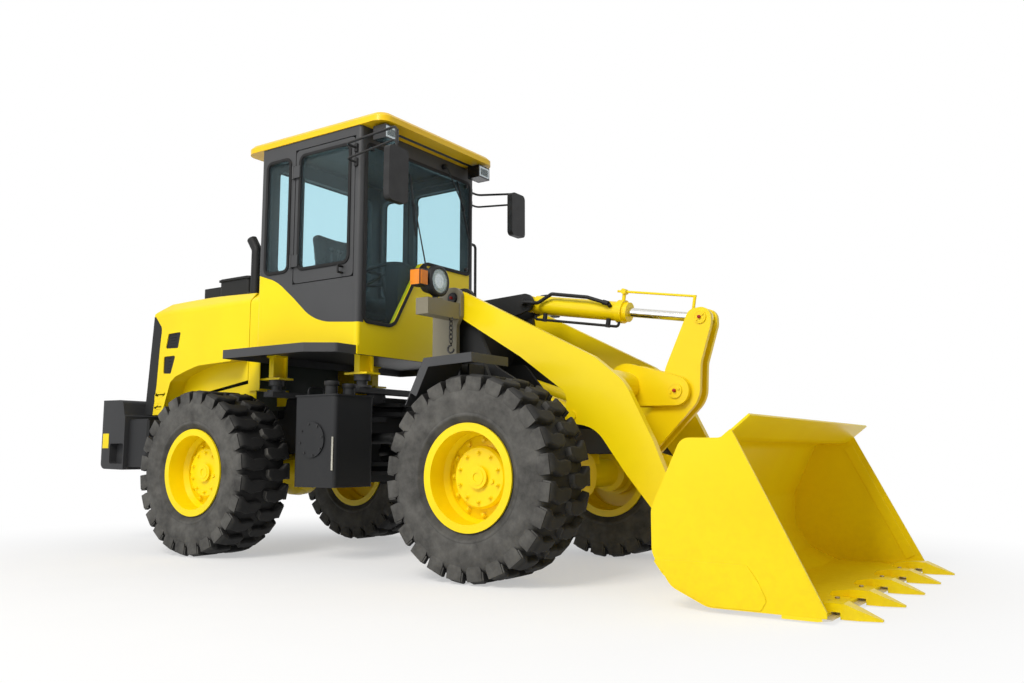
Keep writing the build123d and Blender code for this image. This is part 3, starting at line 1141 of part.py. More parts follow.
whole_hood = hood()
panel = rear_panel(whole_hood)
for side in (-1, 1):
    y0, y1 = sorted((side * (HOOD_LUG_Y - 32), side * (HOOD_LUG_Y - SIDE_GAP / 3)))
    panel += hood_knuckle(y0, y1, HOOD_SPLIT_Z, 1146, HOOD_PIN_R + RUN)
node("hood_rear_panel", panel)
node("tail_skirt", tail_skirt())
for corners in HOOD_VENTS:
    node("hood_rear_panel", both_sides(vent_louvre(corners)))
node("intake_and_exhaust", intake_box())
node("cowl_and_rear_fenders", cowl())
node("hood", whole_hood - tail_space(0))


def rear_fender():
    """Bent guard over the inner half of a rear tyre, with a rolled outer lip."""
    x = REAR_AXLE_X
    path = [(HOOD_FRONT_X - 6, 1303), (x - 278, 1290), (x - 415, 1258), (x - 535, 1222),
            (x - 598, 1178), (x - 679, 959)]
    guard = bent_sheet(path, 6, 50, -700, -HOOD_W / 2 - SEAT_GAP)
    lip = side_plate(path + offset_path(path, 22)[::-1], -706, -700)
    return guard + lip


node("cowl_and_rear_fenders", both_sides(rear_fender()))


def front_fender():
    """Folded guard over the back half of a front tyre, with side and front skirts."""
    x = FRONT_AXLE_X
    path = [(x + 24, 1186), (x - 296, 1173), (x - 424, 923)]
    guard = bent_sheet(path, 6, 12, -FENDER_OUT_Y, -FENDER_IN_Y)
    side = path[:2] + [(x - 390, 990)]
    skirt = side_plate(side + offset_path(side, FENDER_SKIRT)[::-1], -FENDER_OUT_Y, -FENDER_OUT_Y + 6)
    front = block(x + 18, x + 24, -FENDER_OUT_Y, -FENDER_IN_Y, 1186 - FENDER_SKIRT, 1185)
    return guard + skirt + front


node("front_fenders", both_sides(front_fender()))


def exhaust():
    """Upper exhaust pipe with a cut back tip, carried by the hood."""
    x, y = HOOD_FRONT_X - 96, -440
    foot = HOOD_TOP_Z - 17.9
    pipe = bent_bar([(x, y, foot), (x, y, 2110), (x - 55, y, 2190)], 36, 60)
    pipe -= bent_bar([(x, y, 2050), (x, y, 2110), (x - 58, y, 2194)], 31, 60)
    return pipe + rod_z(x, y, 56, foot, foot + 12)


node("intake_and_exhaust", exhaust())


# ---- cab inside ---------------------------------------------------------
seat_x = CAB_REAR_X + 330
node("cab_consoles", block(seat_x - 200, seat_x + 200, -190, 190, CAB_FLOOR_Z + 10 + SEAT_GAP, 1640)
     - block(seat_x - 210, seat_x + 210, -150, 150, 1420, 1600))
cushion = block(seat_x - 240, seat_x + 250, -240, 240, 1640 + SEAT_GAP, 1750)
node("seat_cushions", fillet(cushion.edges().filter_by(Axis.Z), 70))
back = side_plate([(seat_x - 240, 1750.6), (seat_x - 120, 1750.6), (seat_x - 180, 2250),
                   (seat_x - 270, 2250)], -230, 230, radius=[10, 30, 40, 30])
node("seat_cushions", back & end_plate([(-230, 1700), (-230, 2100), (-120, 2260), (120, 2260), (230, 2100),
                                        (230, 1700)], seat_x - 400, seat_x + 100, radius=[0, 90, 60, 60, 90, 0]))
column = rod_between((CAB_FRONT_X - 166, 0, CAB_FLOOR_Z + 22), (CAB_FRONT_X - 330, 0, 1900), 32)
column += block(CAB_FRONT_X - 220, CAB_FRONT_X - 152, -60, 60, CAB_FLOOR_Z + 10 + SEAT_GAP, CAB_FLOOR_Z + 30)
wheel_plane = Plane(origin=(CAB_FRONT_X - 332, 0, 1906), z_dir=(-170, 0, 570))
node("steering_column", column + wheel_plane * Torus(185, 14) + wheel_plane * Cylinder(46, 30)
     + wheel_plane * Box(370, 30, 14) + wheel_plane * Box(30, 370, 14))
node("cab_consoles", block(CAB_FRONT_X - 150, CAB_FRONT_X - CAB_WALL - 0.3, -180, 180,
                        CAB_FLOOR_Z + 10 + SEAT_GAP, 1930) - rod_between(
    (CAB_FRONT_X - 150, 0, CAB_FLOOR_Z - 30), (CAB_FRONT_X - 330, 0, 1900), 34))
node("cab_consoles", block(seat_x - 200, seat_x + 330, -545, -300, CAB_FLOOR_Z + 10 + SEAT_GAP, 1800)
     + rod_z(seat_x + 240, -470, 12, 1790, 1990) + rod_z(seat_x + 240, -400, 12, 1790, 1990))


def mirror_arm(x, z0, z1):
    """Outside mirror on a two bar bracket, right side, at X between two heights."""
    y = -790
    head = block(x - 22, x + 22, y - 85, y + 85, z0, z1)
    head = fillet(head.edges().filter_by(Axis.X), 34)
    foot_x = CAB_FRONT_X - 34
    grip = min(z1, 2505) - 60
    bars = bent_bar([(foot_x, -609, 2600), (foot_x, -700, 2600), (x, y, 2585), (x, y, grip)], 8, 40)
    bars += bent_bar([(foot_x, -609, 2505), (foot_x, -690, 2505), (x, y, 2505), (x, y, grip)], 7, 36)
    for z in (2505, 2600):
        bars += block(foot_x - 12, foot_x + 12, -616, -CAB_W / 2 - SEAT_GAP, z - 26, z + 26)
    return head + bars


node("mirrors", mirror_arm(FRONT_AXLE_X - 631, 2120, 2452))
node("mirrors", mirror(mirror_arm(FRONT_AXLE_X - 845, 2257, 2580), Plane.XZ))


LAMP_Y = 598.0              # centre of a headlamp
LAMP_Z = 1663.0
LAMP_R = 92.0


def lamp_bracket():
    """Folded box arm that carries a headlamp, right side, open at its back."""
    x = BOOM_PIVOT[0] - 38
    arm = block(x, x + 90, -727, -TOWER_OUT_Y - PLATE - SEAT_GAP, 1455, 1550)
    arm -= block(x - 1, x + 84, -721, -TOWER_OUT_Y - PLATE - 30, 1461, 1544)
    return arm + block(x + 20, x + 74, -LAMP_Y - 30, -LAMP_Y + 30, 1549, 1562)


def headlight():
    """Round lamp: bowl behind, rim in front, and the flasher box on its outer side."""
    x = BOOM_PIVOT[0] + 22
    outline = [(0, 0), (LAMP_R - 12, 0), (LAMP_R - 12, 8), (LAMP_R, 8), (LAMP_R, -26),
               (LAMP_R - 10, -34), (LAMP_R - 34, -98), (LAMP_R - 60, -112), (0, -112)]
    bowl = revolve(Plane.XZ * make_face(Polyline(*outline, close=True)), Axis.Z)
    bowl = Pos(x, -LAMP_Y, LAMP_Z) * Rot(0, 90, 0) * bowl
    neck = rod_z(x - 24, -LAMP_Y, 16, 1562 + SEAT_GAP, LAMP_Z - 60)
    arm = block(x - 62, x - 32, -LAMP_Y - 100, -LAMP_Y - 40, LAMP_Z - 20, LAMP_Z + 20)
    return bowl + neck + arm


flasher = block(BOOM_PIVOT[0] - 46, BOOM_PIVOT[0] + 26, -LAMP_Y - 172, -LAMP_Y - 100 - SEAT_GAP,
                LAMP_Z - 48, LAMP_Z + 52)
node("lamp_towers", both_sides(lamp_bracket()))
node("headlights", both_sides(headlight()))
node("headlights", both_sides(fillet(flasher.edges(), 8)))

for x, z0, z1 in ((CAB_FRONT_X - 20, 1560, 2200), (DOOR_REAR_X - 80, 1600, 2300)):
    node("steps_and_rails", bent_bar([(x, STEP_IN_Y, z0), (x, STEP_IN_Y + 52, z0), (x, STEP_IN_Y + 52, z1),
                                      (x, STEP_IN_Y, z1)], 10, 26))
for x, z in ((CAB_FRONT_X + 120, CAB_TOP_Z - 62),):
    for y in (-500, 500):
        node("rear_body_lights", block(x - 50, x + 50, y - 65, y + 65, z - 45, z + 45) + rod_z(x, y, 14, z + 40, CAB_TOP_Z - 0.3))


for y in (-470, 470):
    lamp = block(TAIL_X + 2, TAIL_X + 22 - SEAT_GAP, y - 104, y + 104, 906, 984)
    node("rear_body_lights", fillet(lamp.edges().filter_by(Axis.X), 10))

os.makedirs("parts", exist_ok=True)
for name, solids in NODES.items():
    export_step(Compound(solids), "parts/" + name + ".step")
print(len(NODES), "nodes", sum(len(s) for s in NODES.values()), "solids")
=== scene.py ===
import math
import bpy
from mathutils import Matrix, Vector


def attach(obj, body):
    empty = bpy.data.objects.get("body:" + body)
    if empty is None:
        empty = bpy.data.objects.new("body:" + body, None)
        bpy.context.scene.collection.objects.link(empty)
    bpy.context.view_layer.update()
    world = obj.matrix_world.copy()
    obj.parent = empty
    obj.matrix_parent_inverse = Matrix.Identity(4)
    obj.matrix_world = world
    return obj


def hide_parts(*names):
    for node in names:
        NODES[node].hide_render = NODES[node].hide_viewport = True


# Compact wheel loader: finishes, tyres, fastenings, trim and the cab's soft parts,
# built round the fixed frame. Metres, X forward, Y to the driver's left, Z up.
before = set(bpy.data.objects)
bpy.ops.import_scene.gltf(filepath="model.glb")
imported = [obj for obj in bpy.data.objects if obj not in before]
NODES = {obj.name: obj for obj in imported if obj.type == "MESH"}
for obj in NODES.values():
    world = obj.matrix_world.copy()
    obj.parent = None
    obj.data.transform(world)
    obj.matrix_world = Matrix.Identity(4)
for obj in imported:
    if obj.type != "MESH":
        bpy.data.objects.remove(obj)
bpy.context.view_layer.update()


# ---- colours and shader nodes -------------------------------------------
def hex_colour(code):
    """sRGB hex code as a linear RGBA."""
    parts = [int(code[i:i + 2], 16) / 255 for i in (1, 3, 5)]
    return [c / 12.92 if c <= 0.04045 else ((c + 0.055) / 1.055) ** 2.4 for c in parts] + [1.0]


def add(tree, kind, sockets=None, **settings):
    """Adds one node: settings are its properties, sockets its values or incoming links."""
    made = tree.nodes.new("ShaderNode" + kind)
    for name, value in settings.items():
        setattr(made, name, value)
    for name, value in (sockets or {}).items():
        socket = made.inputs[name]
        if isinstance(value, bpy.types.NodeSocket):
            tree.links.new(value, socket)
        else:
            socket.default_value = value
    return made


def ramp(tree, factor, stops):
    """Colour ramp through (position, colour) stops."""
    made = add(tree, "ValToRGB", {"Fac": factor})
    cells = made.color_ramp.elements
    while len(cells) < len(stops):
        cells.new(0.5)
    for cell, (place, colour) in zip(cells, stops):
        cell.position = place
        cell.color = hex_colour(colour) if isinstance(colour, str) else (colour, colour, colour, 1)
    return made.outputs["Color"]


def mix(tree, factor, a, b):
    """Mixes two colours, given as hex codes or sockets."""
    made = add(tree, "Mix", data_type="RGBA")
    for socket, value in ((made.inputs[0], factor), (made.inputs[6], a), (made.inputs[7], b)):
        if isinstance(value, bpy.types.NodeSocket):
            tree.links.new(value, socket)
        else:
            socket.default_value = hex_colour(value) if isinstance(value, str) else value
    return made.outputs[2]


def start(name, **shader):
    """New material with its shader's constants set; returns it, its tree, shader and place."""
    made = bpy.data.materials.new(name)
    made.use_nodes = True
    tree = made.node_tree
    bsdf = tree.nodes["Principled BSDF"]
    for socket, value in shader.items():
        bsdf.inputs[socket.replace("_", " ")].default_value = value
    place = add(tree, "TexCoord").outputs["Object"]
    return made, tree, bsdf, place


def bump(tree, bsdf, height, strength, distance):
    """Bump from a height socket, with its relief in metres."""
    made = add(tree, "Bump", {"Height": height, "Strength": strength, "Distance": distance})
    tree.links.new(made.outputs["Normal"], bsdf.inputs["Normal"])


def sprayed_enamel(name, base, faded, dust, roughness=0.38, coat=0.10, dust_top=0.75):
    """Two-part enamel sprayed on steel plate: even and glossy, with a faint orange peel
    every 4 mm, slow drifts of tone over half a metre, and road dust low down."""
    made, tree, bsdf, place = start(name, Roughness=roughness, Coat_Weight=coat,
                                    Coat_Roughness=0.12, Specular_IOR_Level=0.28)
    drift = add(tree, "TexNoise", {"Vector": place, "Scale": 1.9, "Detail": 3.0})
    tone = ramp(tree, drift.outputs["Fac"], [(0.35, base), (0.72, faded)])
    height = add(tree, "SeparateXYZ", {"Vector": place}).outputs["Z"]
    low = add(tree, "MapRange", {"Value": height, "From Min": 0.05, "From Max": dust_top,
                                 "To Min": 0.14, "To Max": 0.0})
    grit = add(tree, "TexNoise", {"Vector": place, "Scale": 26.0, "Detail": 8.0,
                                  "Roughness": 0.7})
    patch = ramp(tree, grit.outputs["Fac"], [(0.42, 0.0), (0.68, 1.0)])
    amount = add(tree, "Math", {0: low.outputs[0], 1: patch}, operation="MULTIPLY")
    colour = mix(tree, amount.outputs[0], tone, dust)
    tree.links.new(colour, bsdf.inputs["Base Color"])
    rough = add(tree, "MapRange", {"Value": amount.outputs[0], "To Min": roughness,
                                   "To Max": 0.8})
    tree.links.new(rough.outputs[0], bsdf.inputs["Roughness"])
    peel = add(tree, "TexNoise", {"Vector": place, "Scale": 250.0, "Detail": 2.0})
    bump(tree, bsdf, peel.outputs["Fac"], 0.12, 0.0004)
    return made


def moulded_rubber(name, base, dusty, side_dust):
    """Carbon-black tyre rubber, press moulded: matt, finely grained at 3 mm, with pale dry
    dust on the sidewalls and shoulders and a darker, scuffed tread."""
    made, tree, bsdf, place = start(name, Roughness=0.78, Specular_IOR_Level=0.35)
    cloud = add(tree, "TexNoise", {"Vector": place, "Scale": 9.0, "Detail": 8.0,
                                   "Roughness": 0.65})
    grain = add(tree, "TexNoise", {"Vector": place, "Scale": 330.0, "Detail": 3.0})
    facing = add(tree, "TexCoord").outputs["Normal"]
    side = add(tree, "SeparateXYZ", {"Vector": facing}).outputs["Y"]
    outward = add(tree, "Math", {0: side}, operation="ABSOLUTE").outputs[0]
    wall = add(tree, "MapRange", {"Value": outward, "From Min": 0.25, "From Max": 0.95,
                                  "To Min": 0.05, "To Max": side_dust}).outputs[0]
    spread = ramp(tree, cloud.outputs["Fac"], [(0.3, 0.25), (0.7, 1.0)])
    amount = add(tree, "Math", {0: wall, 1: spread}, operation="MULTIPLY").outputs[0]
    colour = mix(tree, amount, base, dusty)
    tree.links.new(colour, bsdf.inputs["Base Color"])
    bump(tree, bsdf, grain.outputs["Fac"], 0.35, 0.0008)
    return made


def satin_plastic(name, base, grey, grain=420.0, roughness=0.5):
    """Moulded ABS or rubber trim: satin, with a leather-like moulded grain near 2.5 mm and
    a slight greying where it is handled."""
    made, tree, bsdf, place = start(name, Roughness=roughness, Specular_IOR_Level=0.3)
    cloud = add(tree, "TexNoise", {"Vector": place, "Scale": 14.0, "Detail": 5.0})
    colour = ramp(tree, cloud.outputs["Fac"], [(0.35, base), (0.75, grey)])
    tree.links.new(colour, bsdf.inputs["Base Color"])
    cells = add(tree, "TexVoronoi", {"Vector": place, "Scale": grain})
    bump(tree, bsdf, cells.outputs["Distance"], 0.25, 0.0005)
    return made


def bare_metal(name, base, dull, roughness, brush=(1, 1, 1)):
    """Bare or plated steel: grey, with fine scratches along the way it was finished."""
    made, tree, bsdf, place = start(name, Roughness=roughness, Metallic=1.0)
    turned = add(tree, "Mapping", {"Vector": place, "Scale": brush})
    streak = add(tree, "TexNoise", {"Vector": turned.outputs["Vector"], "Scale": 180.0,
                                    "Detail": 6.0})
    colour = ramp(tree, streak.outputs["Fac"], [(0.3, dull), (0.65, base)])
    tree.links.new(colour, bsdf.inputs["Base Color"])
    rough = add(tree, "MapRange", {"Value": streak.outputs["Fac"], "To Min": roughness * 0.7,
                                   "To Max": roughness * 1.5})
    tree.links.new(rough.outputs[0], bsdf.inputs["Roughness"])
    bump(tree, bsdf, streak.outputs["Fac"], 0.1, 0.0003)
    return made


def window_glass(name, tint, smear):
    """Toughened float glass, tinted in the melt: what is behind it takes the tint at each
    face it passes, with a smooth sharp gloss and a faint wiped smear on top."""
    made, tree, bsdf, place = start(name, Roughness=0.03, IOR=1.5)
    film = add(tree, "TexNoise", {"Vector": place, "Scale": 3.0, "Detail": 4.0})
    colour = ramp(tree, film.outputs["Fac"], [(0.4, "#C9D6DA"), (0.8, "#B9C9CF")])
    tree.links.new(colour, bsdf.inputs["Base Color"])
    clear_pane = add(tree, "BsdfTransparent", {"Color": hex_colour(tint)})
    both = add(tree, "MixShader", {0: smear, 1: clear_pane.outputs[0], 2: bsdf.outputs[0]})
    tree.links.new(both.outputs[0], tree.nodes["Material Output"].inputs["Surface"])
    return made


def tail_lamp(name):
    """Tail lamp: a black moulded body whose rear face is a ribbed red lens with an amber
    turn signal at the outer end."""
    inner_end, outer_end, face_x = 0.37, 0.57, -2.897
    made, tree, bsdf, place = start(name, Roughness=0.22)
    parts = add(tree, "SeparateXYZ", {"Vector": place})
    width = add(tree, "Math", {0: parts.outputs["Y"]}, operation="ABSOLUTE").outputs[0]
    across = add(tree, "MapRange", {"Value": width, "From Min": inner_end,
                                    "From Max": outer_end}).outputs[0]
    colour = ramp(tree, across, [(0.0, "#9E1410"), (0.60, "#A61611"), (0.62, "#1A1A1B"),
                                 (0.65, "#E8890C"), (1.0, "#E08208")])
    rear = add(tree, "MapRange", {"Value": parts.outputs["X"], "From Min": face_x,
                                  "From Max": face_x - 0.0005}).outputs[0]
    tree.links.new(mix(tree, rear, "#161617", colour), bsdf.inputs["Base Color"])
    ribs = add(tree, "TexWave", {"Vector": place, "Scale": 40.0}, bands_direction="Z")
    bump(tree, bsdf, ribs.outputs["Fac"], 0.3, 0.001)
    return made


def worn_edge(name):
    """Bucket edge plate: yellow enamel, scoured back to bright steel along its front."""
    bare_from = 2.722
    made, tree, bsdf, place = start(name, Roughness=0.45)
    along = add(tree, "SeparateXYZ", {"Vector": place}).outputs["X"]
    grit = add(tree, "TexNoise", {"Vector": place, "Scale": 30.0, "Detail": 6.0})
    ragged = add(tree, "Math", {0: grit.outputs["Fac"], 1: 0.03}, operation="MULTIPLY")
    reach = add(tree, "Math", {0: along, 1: ragged.outputs[0]}, operation="ADD")
    bare = add(tree, "MapRange", {"Value": reach.outputs[0], "From Min": bare_from,
                                  "From Max": bare_from + 0.006}).outputs[0]
    tree.links.new(mix(tree, bare, "#FBE003", "#C9C5BC"), bsdf.inputs["Base Color"])
    tree.links.new(bare, bsdf.inputs["Metallic"])
    bump(tree, bsdf, grit.outputs["Fac"], 0.3, 0.0006)
    return made


YELLOW = sprayed_enamel("sprayed_yellow_enamel", "#FBE003", "#F8D803", "#C49A22")
ROOF_YELLOW = sprayed_enamel("moulded_yellow_roof_gelcoat", "#F3C70D", "#EDBE0B", "#9C8A5E",
                             roughness=0.42, coat=0.2)
CAB_GREY = sprayed_enamel("sprayed_dark_grey_enamel", "#434446", "#3C3D3F", "#6A665D",
                          roughness=0.5, coat=0.05)
FRAME_BLACK = sprayed_enamel("sprayed_black_chassis_enamel", "#161718", "#1D1E1F", "#4A463E",
                             roughness=0.55, coat=0.0)
TANK_GREY = sprayed_enamel("sprayed_charcoal_tank_enamel", "#1E1F21", "#252628", "#5B574E",
                           roughness=0.5, coat=0.0)
CAST_GREY = sprayed_enamel("painted_cast_iron", "#38393B", "#303133", "#5E5A52",
                           roughness=0.6, coat=0.0)
ENGINE = sprayed_enamel("painted_engine_casting", "#2E3A33", "#27322C", "#4B473F", roughness=0.5)
RUBBER = moulded_rubber("moulded_tyre_rubber", "#0F0F10", "#63625F", 0.95)
BLACK_PLASTIC = satin_plastic("moulded_black_abs", "#161617", "#242425")
RUBBER_TRIM = satin_plastic("extruded_black_rubber_seal", "#101011", "#1C1C1D", 600.0, 0.7)
VINYL = satin_plastic("embossed_black_vinyl", "#1D1D1F", "#29292B", 300.0, 0.55)
CHROME = bare_metal("hard_chromed_steel_rod", "#E8E8E6", "#D2D2D0", 0.12, (1, 0.1, 1))
ZINC = bare_metal("zinc_plated_steel", "#C3C0B4", "#9D9A8E", 0.32)
WORN_STEEL = bare_metal("ground_wear_steel", "#B9A98A", "#8C7F68", 0.42, (1, 0.05, 1))
GLASS = window_glass("toughened_tinted_glass", "#ECF9FC", 0.04)
LAMP_BEIGE = sprayed_enamel("sprayed_beige_grey_enamel", "#7E7866", "#74705F", "#8C8574",
                            roughness=0.5, coat=0.1)
AMBER = satin_plastic("moulded_amber_lens", "#E8890C", "#D97706", 120.0, 0.18)
TAIL_LAMP = tail_lamp("moulded_tail_lamp")
WORN_EDGE = worn_edge("scoured_edge_plate")
HOSE = satin_plastic("wrapped_hydraulic_hose", "#141415", "#202021", 700.0, 0.55)
LENS = window_glass("pressed_clear_lamp_glass", "#F6F8F8", 0.25)
MIRROR_GLASS = bare_metal("silvered_mirror_glass", "#DDE2E4", "#CCD2D5", 0.04)
BOLT = bare_metal("blackened_bolt_steel", "#4A4A4A", "#38383A", 0.45)
RED_CAP = satin_plastic("moulded_red_grease_cap", "#B3231B", "#9A1D16", 500.0, 0.45)

FINISH = {
    WORN_EDGE: ("cutting_edge",),
    TAIL_LAMP: ("rear_body_lights",),
    YELLOW: ("hood", "boom", "bellcrank", "bucket_link", "bucket_shell", "bucket_wear_plates",
             "bucket_teeth", "lift_cylinder_barrels", "tilt_cylinder_barrel",
             "front_right_rim", "front_left_rim", "rear_right_rim", "rear_left_rim",
             "cowl_and_rear_fenders", "front_axle", "rear_axle", "cab_base", "cab_mounts",
             "door_left_base", "level_indicator"),
    ROOF_YELLOW: ("cab_roof",),
    CAB_GREY: ("cab_shell", "side_hatch_right", "door_left", "platform", "front_fenders"),
    TANK_GREY: ("tanks", "battery_boxes", "steps_and_rails"),
    FRAME_BLACK: ("rear_frame", "front_frame", "intake_and_exhaust", "hood_rear_panel",
                  "tail_skirt", "steering_barrel_right", "steering_barrel_left",
                  "front_drive_shaft", "rear_drive_shaft"),
    LAMP_BEIGE: ("lamp_towers",),
    CAST_GREY: ("counterweight",),
    ENGINE: ("engine_block",),
    RUBBER: ("front_right_tyre", "front_left_tyre", "rear_right_tyre", "rear_left_tyre"),
    GLASS: ("cab_glass", "side_hatch_right_glass", "door_left_glass"),
    CHROME: ("lift_cylinder_rods", "tilt_cylinder_rod", "steering_rod_right",
             "steering_rod_left"),
    HOSE: ("tilt_cylinder_lines",),
    VINYL: ("seat_cushions",),
    BLACK_PLASTIC: ("steering_column", "cab_consoles", "mirrors", "headlights"),
}


def finish_node(name, material):
    """Gives a CAD node one finish."""
    cells = NODES[name].material_slots
    if not cells:
        NODES[name].data.materials.append(material)
    for cell in cells:
        cell.material = material


for material, names in FINISH.items():
    for name in names:
        finish_node(name, material)


# ---- hand tools ----------------------------------------------------------
def clear():
    """Leaves edit mode and drops every selection."""
    if bpy.context.object and bpy.context.object.mode != "OBJECT":
        bpy.ops.object.mode_set(mode="OBJECT")
    bpy.ops.object.select_all(action="DESELECT")


def take(piece):
    """Makes one piece the only selected and active one."""
    clear()
    piece.select_set(True)
    bpy.context.view_layer.objects.active = piece


def begin(name, kind, **place):
    """Adds a primitive at its size and place, with that place in its mesh."""
    clear()
    getattr(bpy.ops.mesh, "primitive_" + kind + "_add")(**place)
    piece = bpy.context.object
    piece.name = name
    bpy.ops.object.transform_apply(location=True, rotation=True, scale=True)
    return piece


def box(name, low, high):
    """Cube primitive stretched between two corners."""
    middle = [(a + b) / 2 for a, b in zip(low, high)]
    size = [b - a for a, b in zip(low, high)]
    return begin(name, "cube", size=1, location=middle, scale=size)


AXIS_TURN = {"X": (0, math.pi / 2, 0), "Y": (math.pi / 2, 0, 0), "Z": (0, 0, 0)}


def drum(name, centre, radius, depth, axis="Z", sides=32):
    """Cylinder primitive lying along an axis."""
    return begin(name, "cylinder", radius=radius, depth=depth, vertices=sides,
                 location=centre, rotation=AXIS_TURN[axis])


def faces(piece, chosen):
    """Edit mode with the faces that pass a test on centre and normal."""
    take(piece)
    bpy.ops.object.mode_set(mode="EDIT")
    bpy.ops.mesh.select_mode(type="FACE")
    bpy.ops.mesh.select_all(action="DESELECT")
    bpy.ops.object.mode_set(mode="OBJECT")
    for face in piece.data.polygons:
        face.select = bool(chosen(face.center, face.normal))
    bpy.ops.object.mode_set(mode="EDIT")


def points(piece, chosen):
    """Edit mode with the vertices that pass a test on their place."""
    take(piece)
    bpy.ops.object.mode_set(mode="EDIT")
    bpy.ops.mesh.select_mode(type="VERT")
    bpy.ops.mesh.select_all(action="DESELECT")
    bpy.ops.object.mode_set(mode="OBJECT")
    for spot in piece.data.vertices:
        spot.select = bool(chosen(spot.co))
    bpy.ops.object.mode_set(mode="EDIT")


def everything(piece):
    """Edit mode with the whole mesh selected."""
    take(piece)
    bpy.ops.object.mode_set(mode="EDIT")
    bpy.ops.mesh.select_mode(type="VERT")
    bpy.ops.mesh.select_all(action="SELECT")


def rim_in(inward, push):
    """Insets the selected faces and pushes them along their own normal."""
    bpy.ops.mesh.inset(thickness=inward, use_boundary=True)
    bpy.ops.mesh.extrude_region_shrink_fatten(TRANSFORM_OT_shrink_fatten={"value": push})
    bpy.ops.object.mode_set(mode="OBJECT")


def soften(piece, width, steps=2, angle=32):
    """Rounds the sharp edges with an applied bevel."""
    take(piece)
    edge = piece.modifiers.new("edge", "BEVEL")
    edge.width, edge.segments, edge.angle_limit = width, steps, math.radians(angle)
    edge.limit_method = "ANGLE"
    bpy.ops.object.modifier_apply(modifier=edge.name)
    return piece


def twin(piece, name, shift=(0, 0, 0), turn=0.0, axis="Z", about=(0, 0, 0)):
    """Copy with its own mesh, turned about a point and then moved."""
    take(piece)
    bpy.ops.object.duplicate(linked=False)
    other = bpy.context.object
    other.name = name
    if turn:
        bpy.ops.transform.rotate(value=turn, orient_axis=axis, center_override=about)
    if any(shift):
        bpy.ops.transform.translate(value=shift)
    bpy.ops.object.transform_apply(location=True, rotation=True, scale=True)
    return other


def reflect(piece, name):
    """Mirror image across the machine's middle plane."""
    take(piece)
    bpy.ops.object.duplicate(linked=False)
    other = bpy.context.object
    other.name = name
    everything(other)
    bpy.ops.transform.resize(value=(1, -1, 1), center_override=(0, 0, 0))
    bpy.ops.mesh.flip_normals()
    clear()
    return other


def join(name, pieces):
    """Joins pieces into one object."""
    clear()
    for piece in pieces:
        piece.select_set(True)
    bpy.context.view_layer.objects.active = pieces[0]
    if len(pieces) > 1:
        bpy.ops.object.join()
    pieces[0].name = name
    return pieces[0]


def done(piece, material, body, angle=35):
    """Shades, finishes and hangs a piece on its body."""
    take(piece)
    bpy.ops.object.shade_smooth_by_angle(angle=math.radians(angle))
    piece.data.materials.clear()
    piece.data.materials.append(material)
    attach(piece, body)
    return piece


def ring(piece, count, centre, axis, whole=2 * math.pi):
    """Repeats the whole mesh round a centre."""
    everything(piece)
    bpy.ops.mesh.spin(steps=count - 1, dupli=True, angle=whole * (count - 1) / count,
                      center=centre, axis=axis)
    clear()
    return piece


# ---- sizes shared with the frame, metres --------------------------------
SIDES = ((-1, "right"), (1, "left"))
FRONT_X, REAR_X, WHEEL_Z, TRACK_Y, TYRE_R = 0.910, -1.330, 0.537, 0.750, 0.537
CAB_FRONT, CAB_REAR, CAB_HALF = -0.190, -1.130, 0.600
LIFT_PIN, BUCKET_PIN, LINK_PIN = (0.428, 1.586), (1.895, 0.290), (1.950, 0.523)
CRANK_PIN, CRANK_TOP, CRANK_LOW = (1.705, 1.001), (1.845, 1.400), (1.442, 0.666)
TILT_BASE = (0.720, 1.580)
HALF_BUCKET, TOOTH_PITCH = 1.010, 0.422


# ---- tyres ---------------------------------------------------------------
# radius and offset from the centre plane, bead to bead round the outside
TYRE_WALL = [
    (0.258, -0.150), (0.284, -0.158), (0.296, -0.170), (0.312, -0.181), (0.318, -0.187),
    (0.327, -0.188), (0.333, -0.185), (0.360, -0.193), (0.397, -0.198), (0.440, -0.196),
    (0.466, -0.188), (0.484, -0.174), (0.496, -0.148), (0.501, -0.080),
    (0.502, 0.0),
    (0.501, 0.080), (0.496, 0.148), (0.484, 0.174), (0.466, 0.188), (0.440, 0.196),
    (0.397, 0.198), (0.360, 0.193), (0.333, 0.185), (0.327, 0.188), (0.318, 0.187),
    (0.312, 0.181), (0.296, 0.170), (0.284, 0.158), (0.258, 0.150),
]
LUGS = 24


def outline(name, spots):
    """Filled flat outline whose corners are moved one by one to their places."""
    piece = begin(name, "circle", vertices=len(spots), radius=0.5, fill_type="NGON",
                  location=(0, 0, 0))
    for number, spot in enumerate(spots):
        points(piece, lambda co: False)
        bpy.ops.object.mode_set(mode="OBJECT")
        piece.data.vertices[number].select = True
        move = Vector(spot) - piece.data.vertices[number].co
        bpy.ops.object.mode_set(mode="EDIT")
        bpy.ops.transform.translate(value=move)
        bpy.ops.object.mode_set(mode="OBJECT")
    return piece


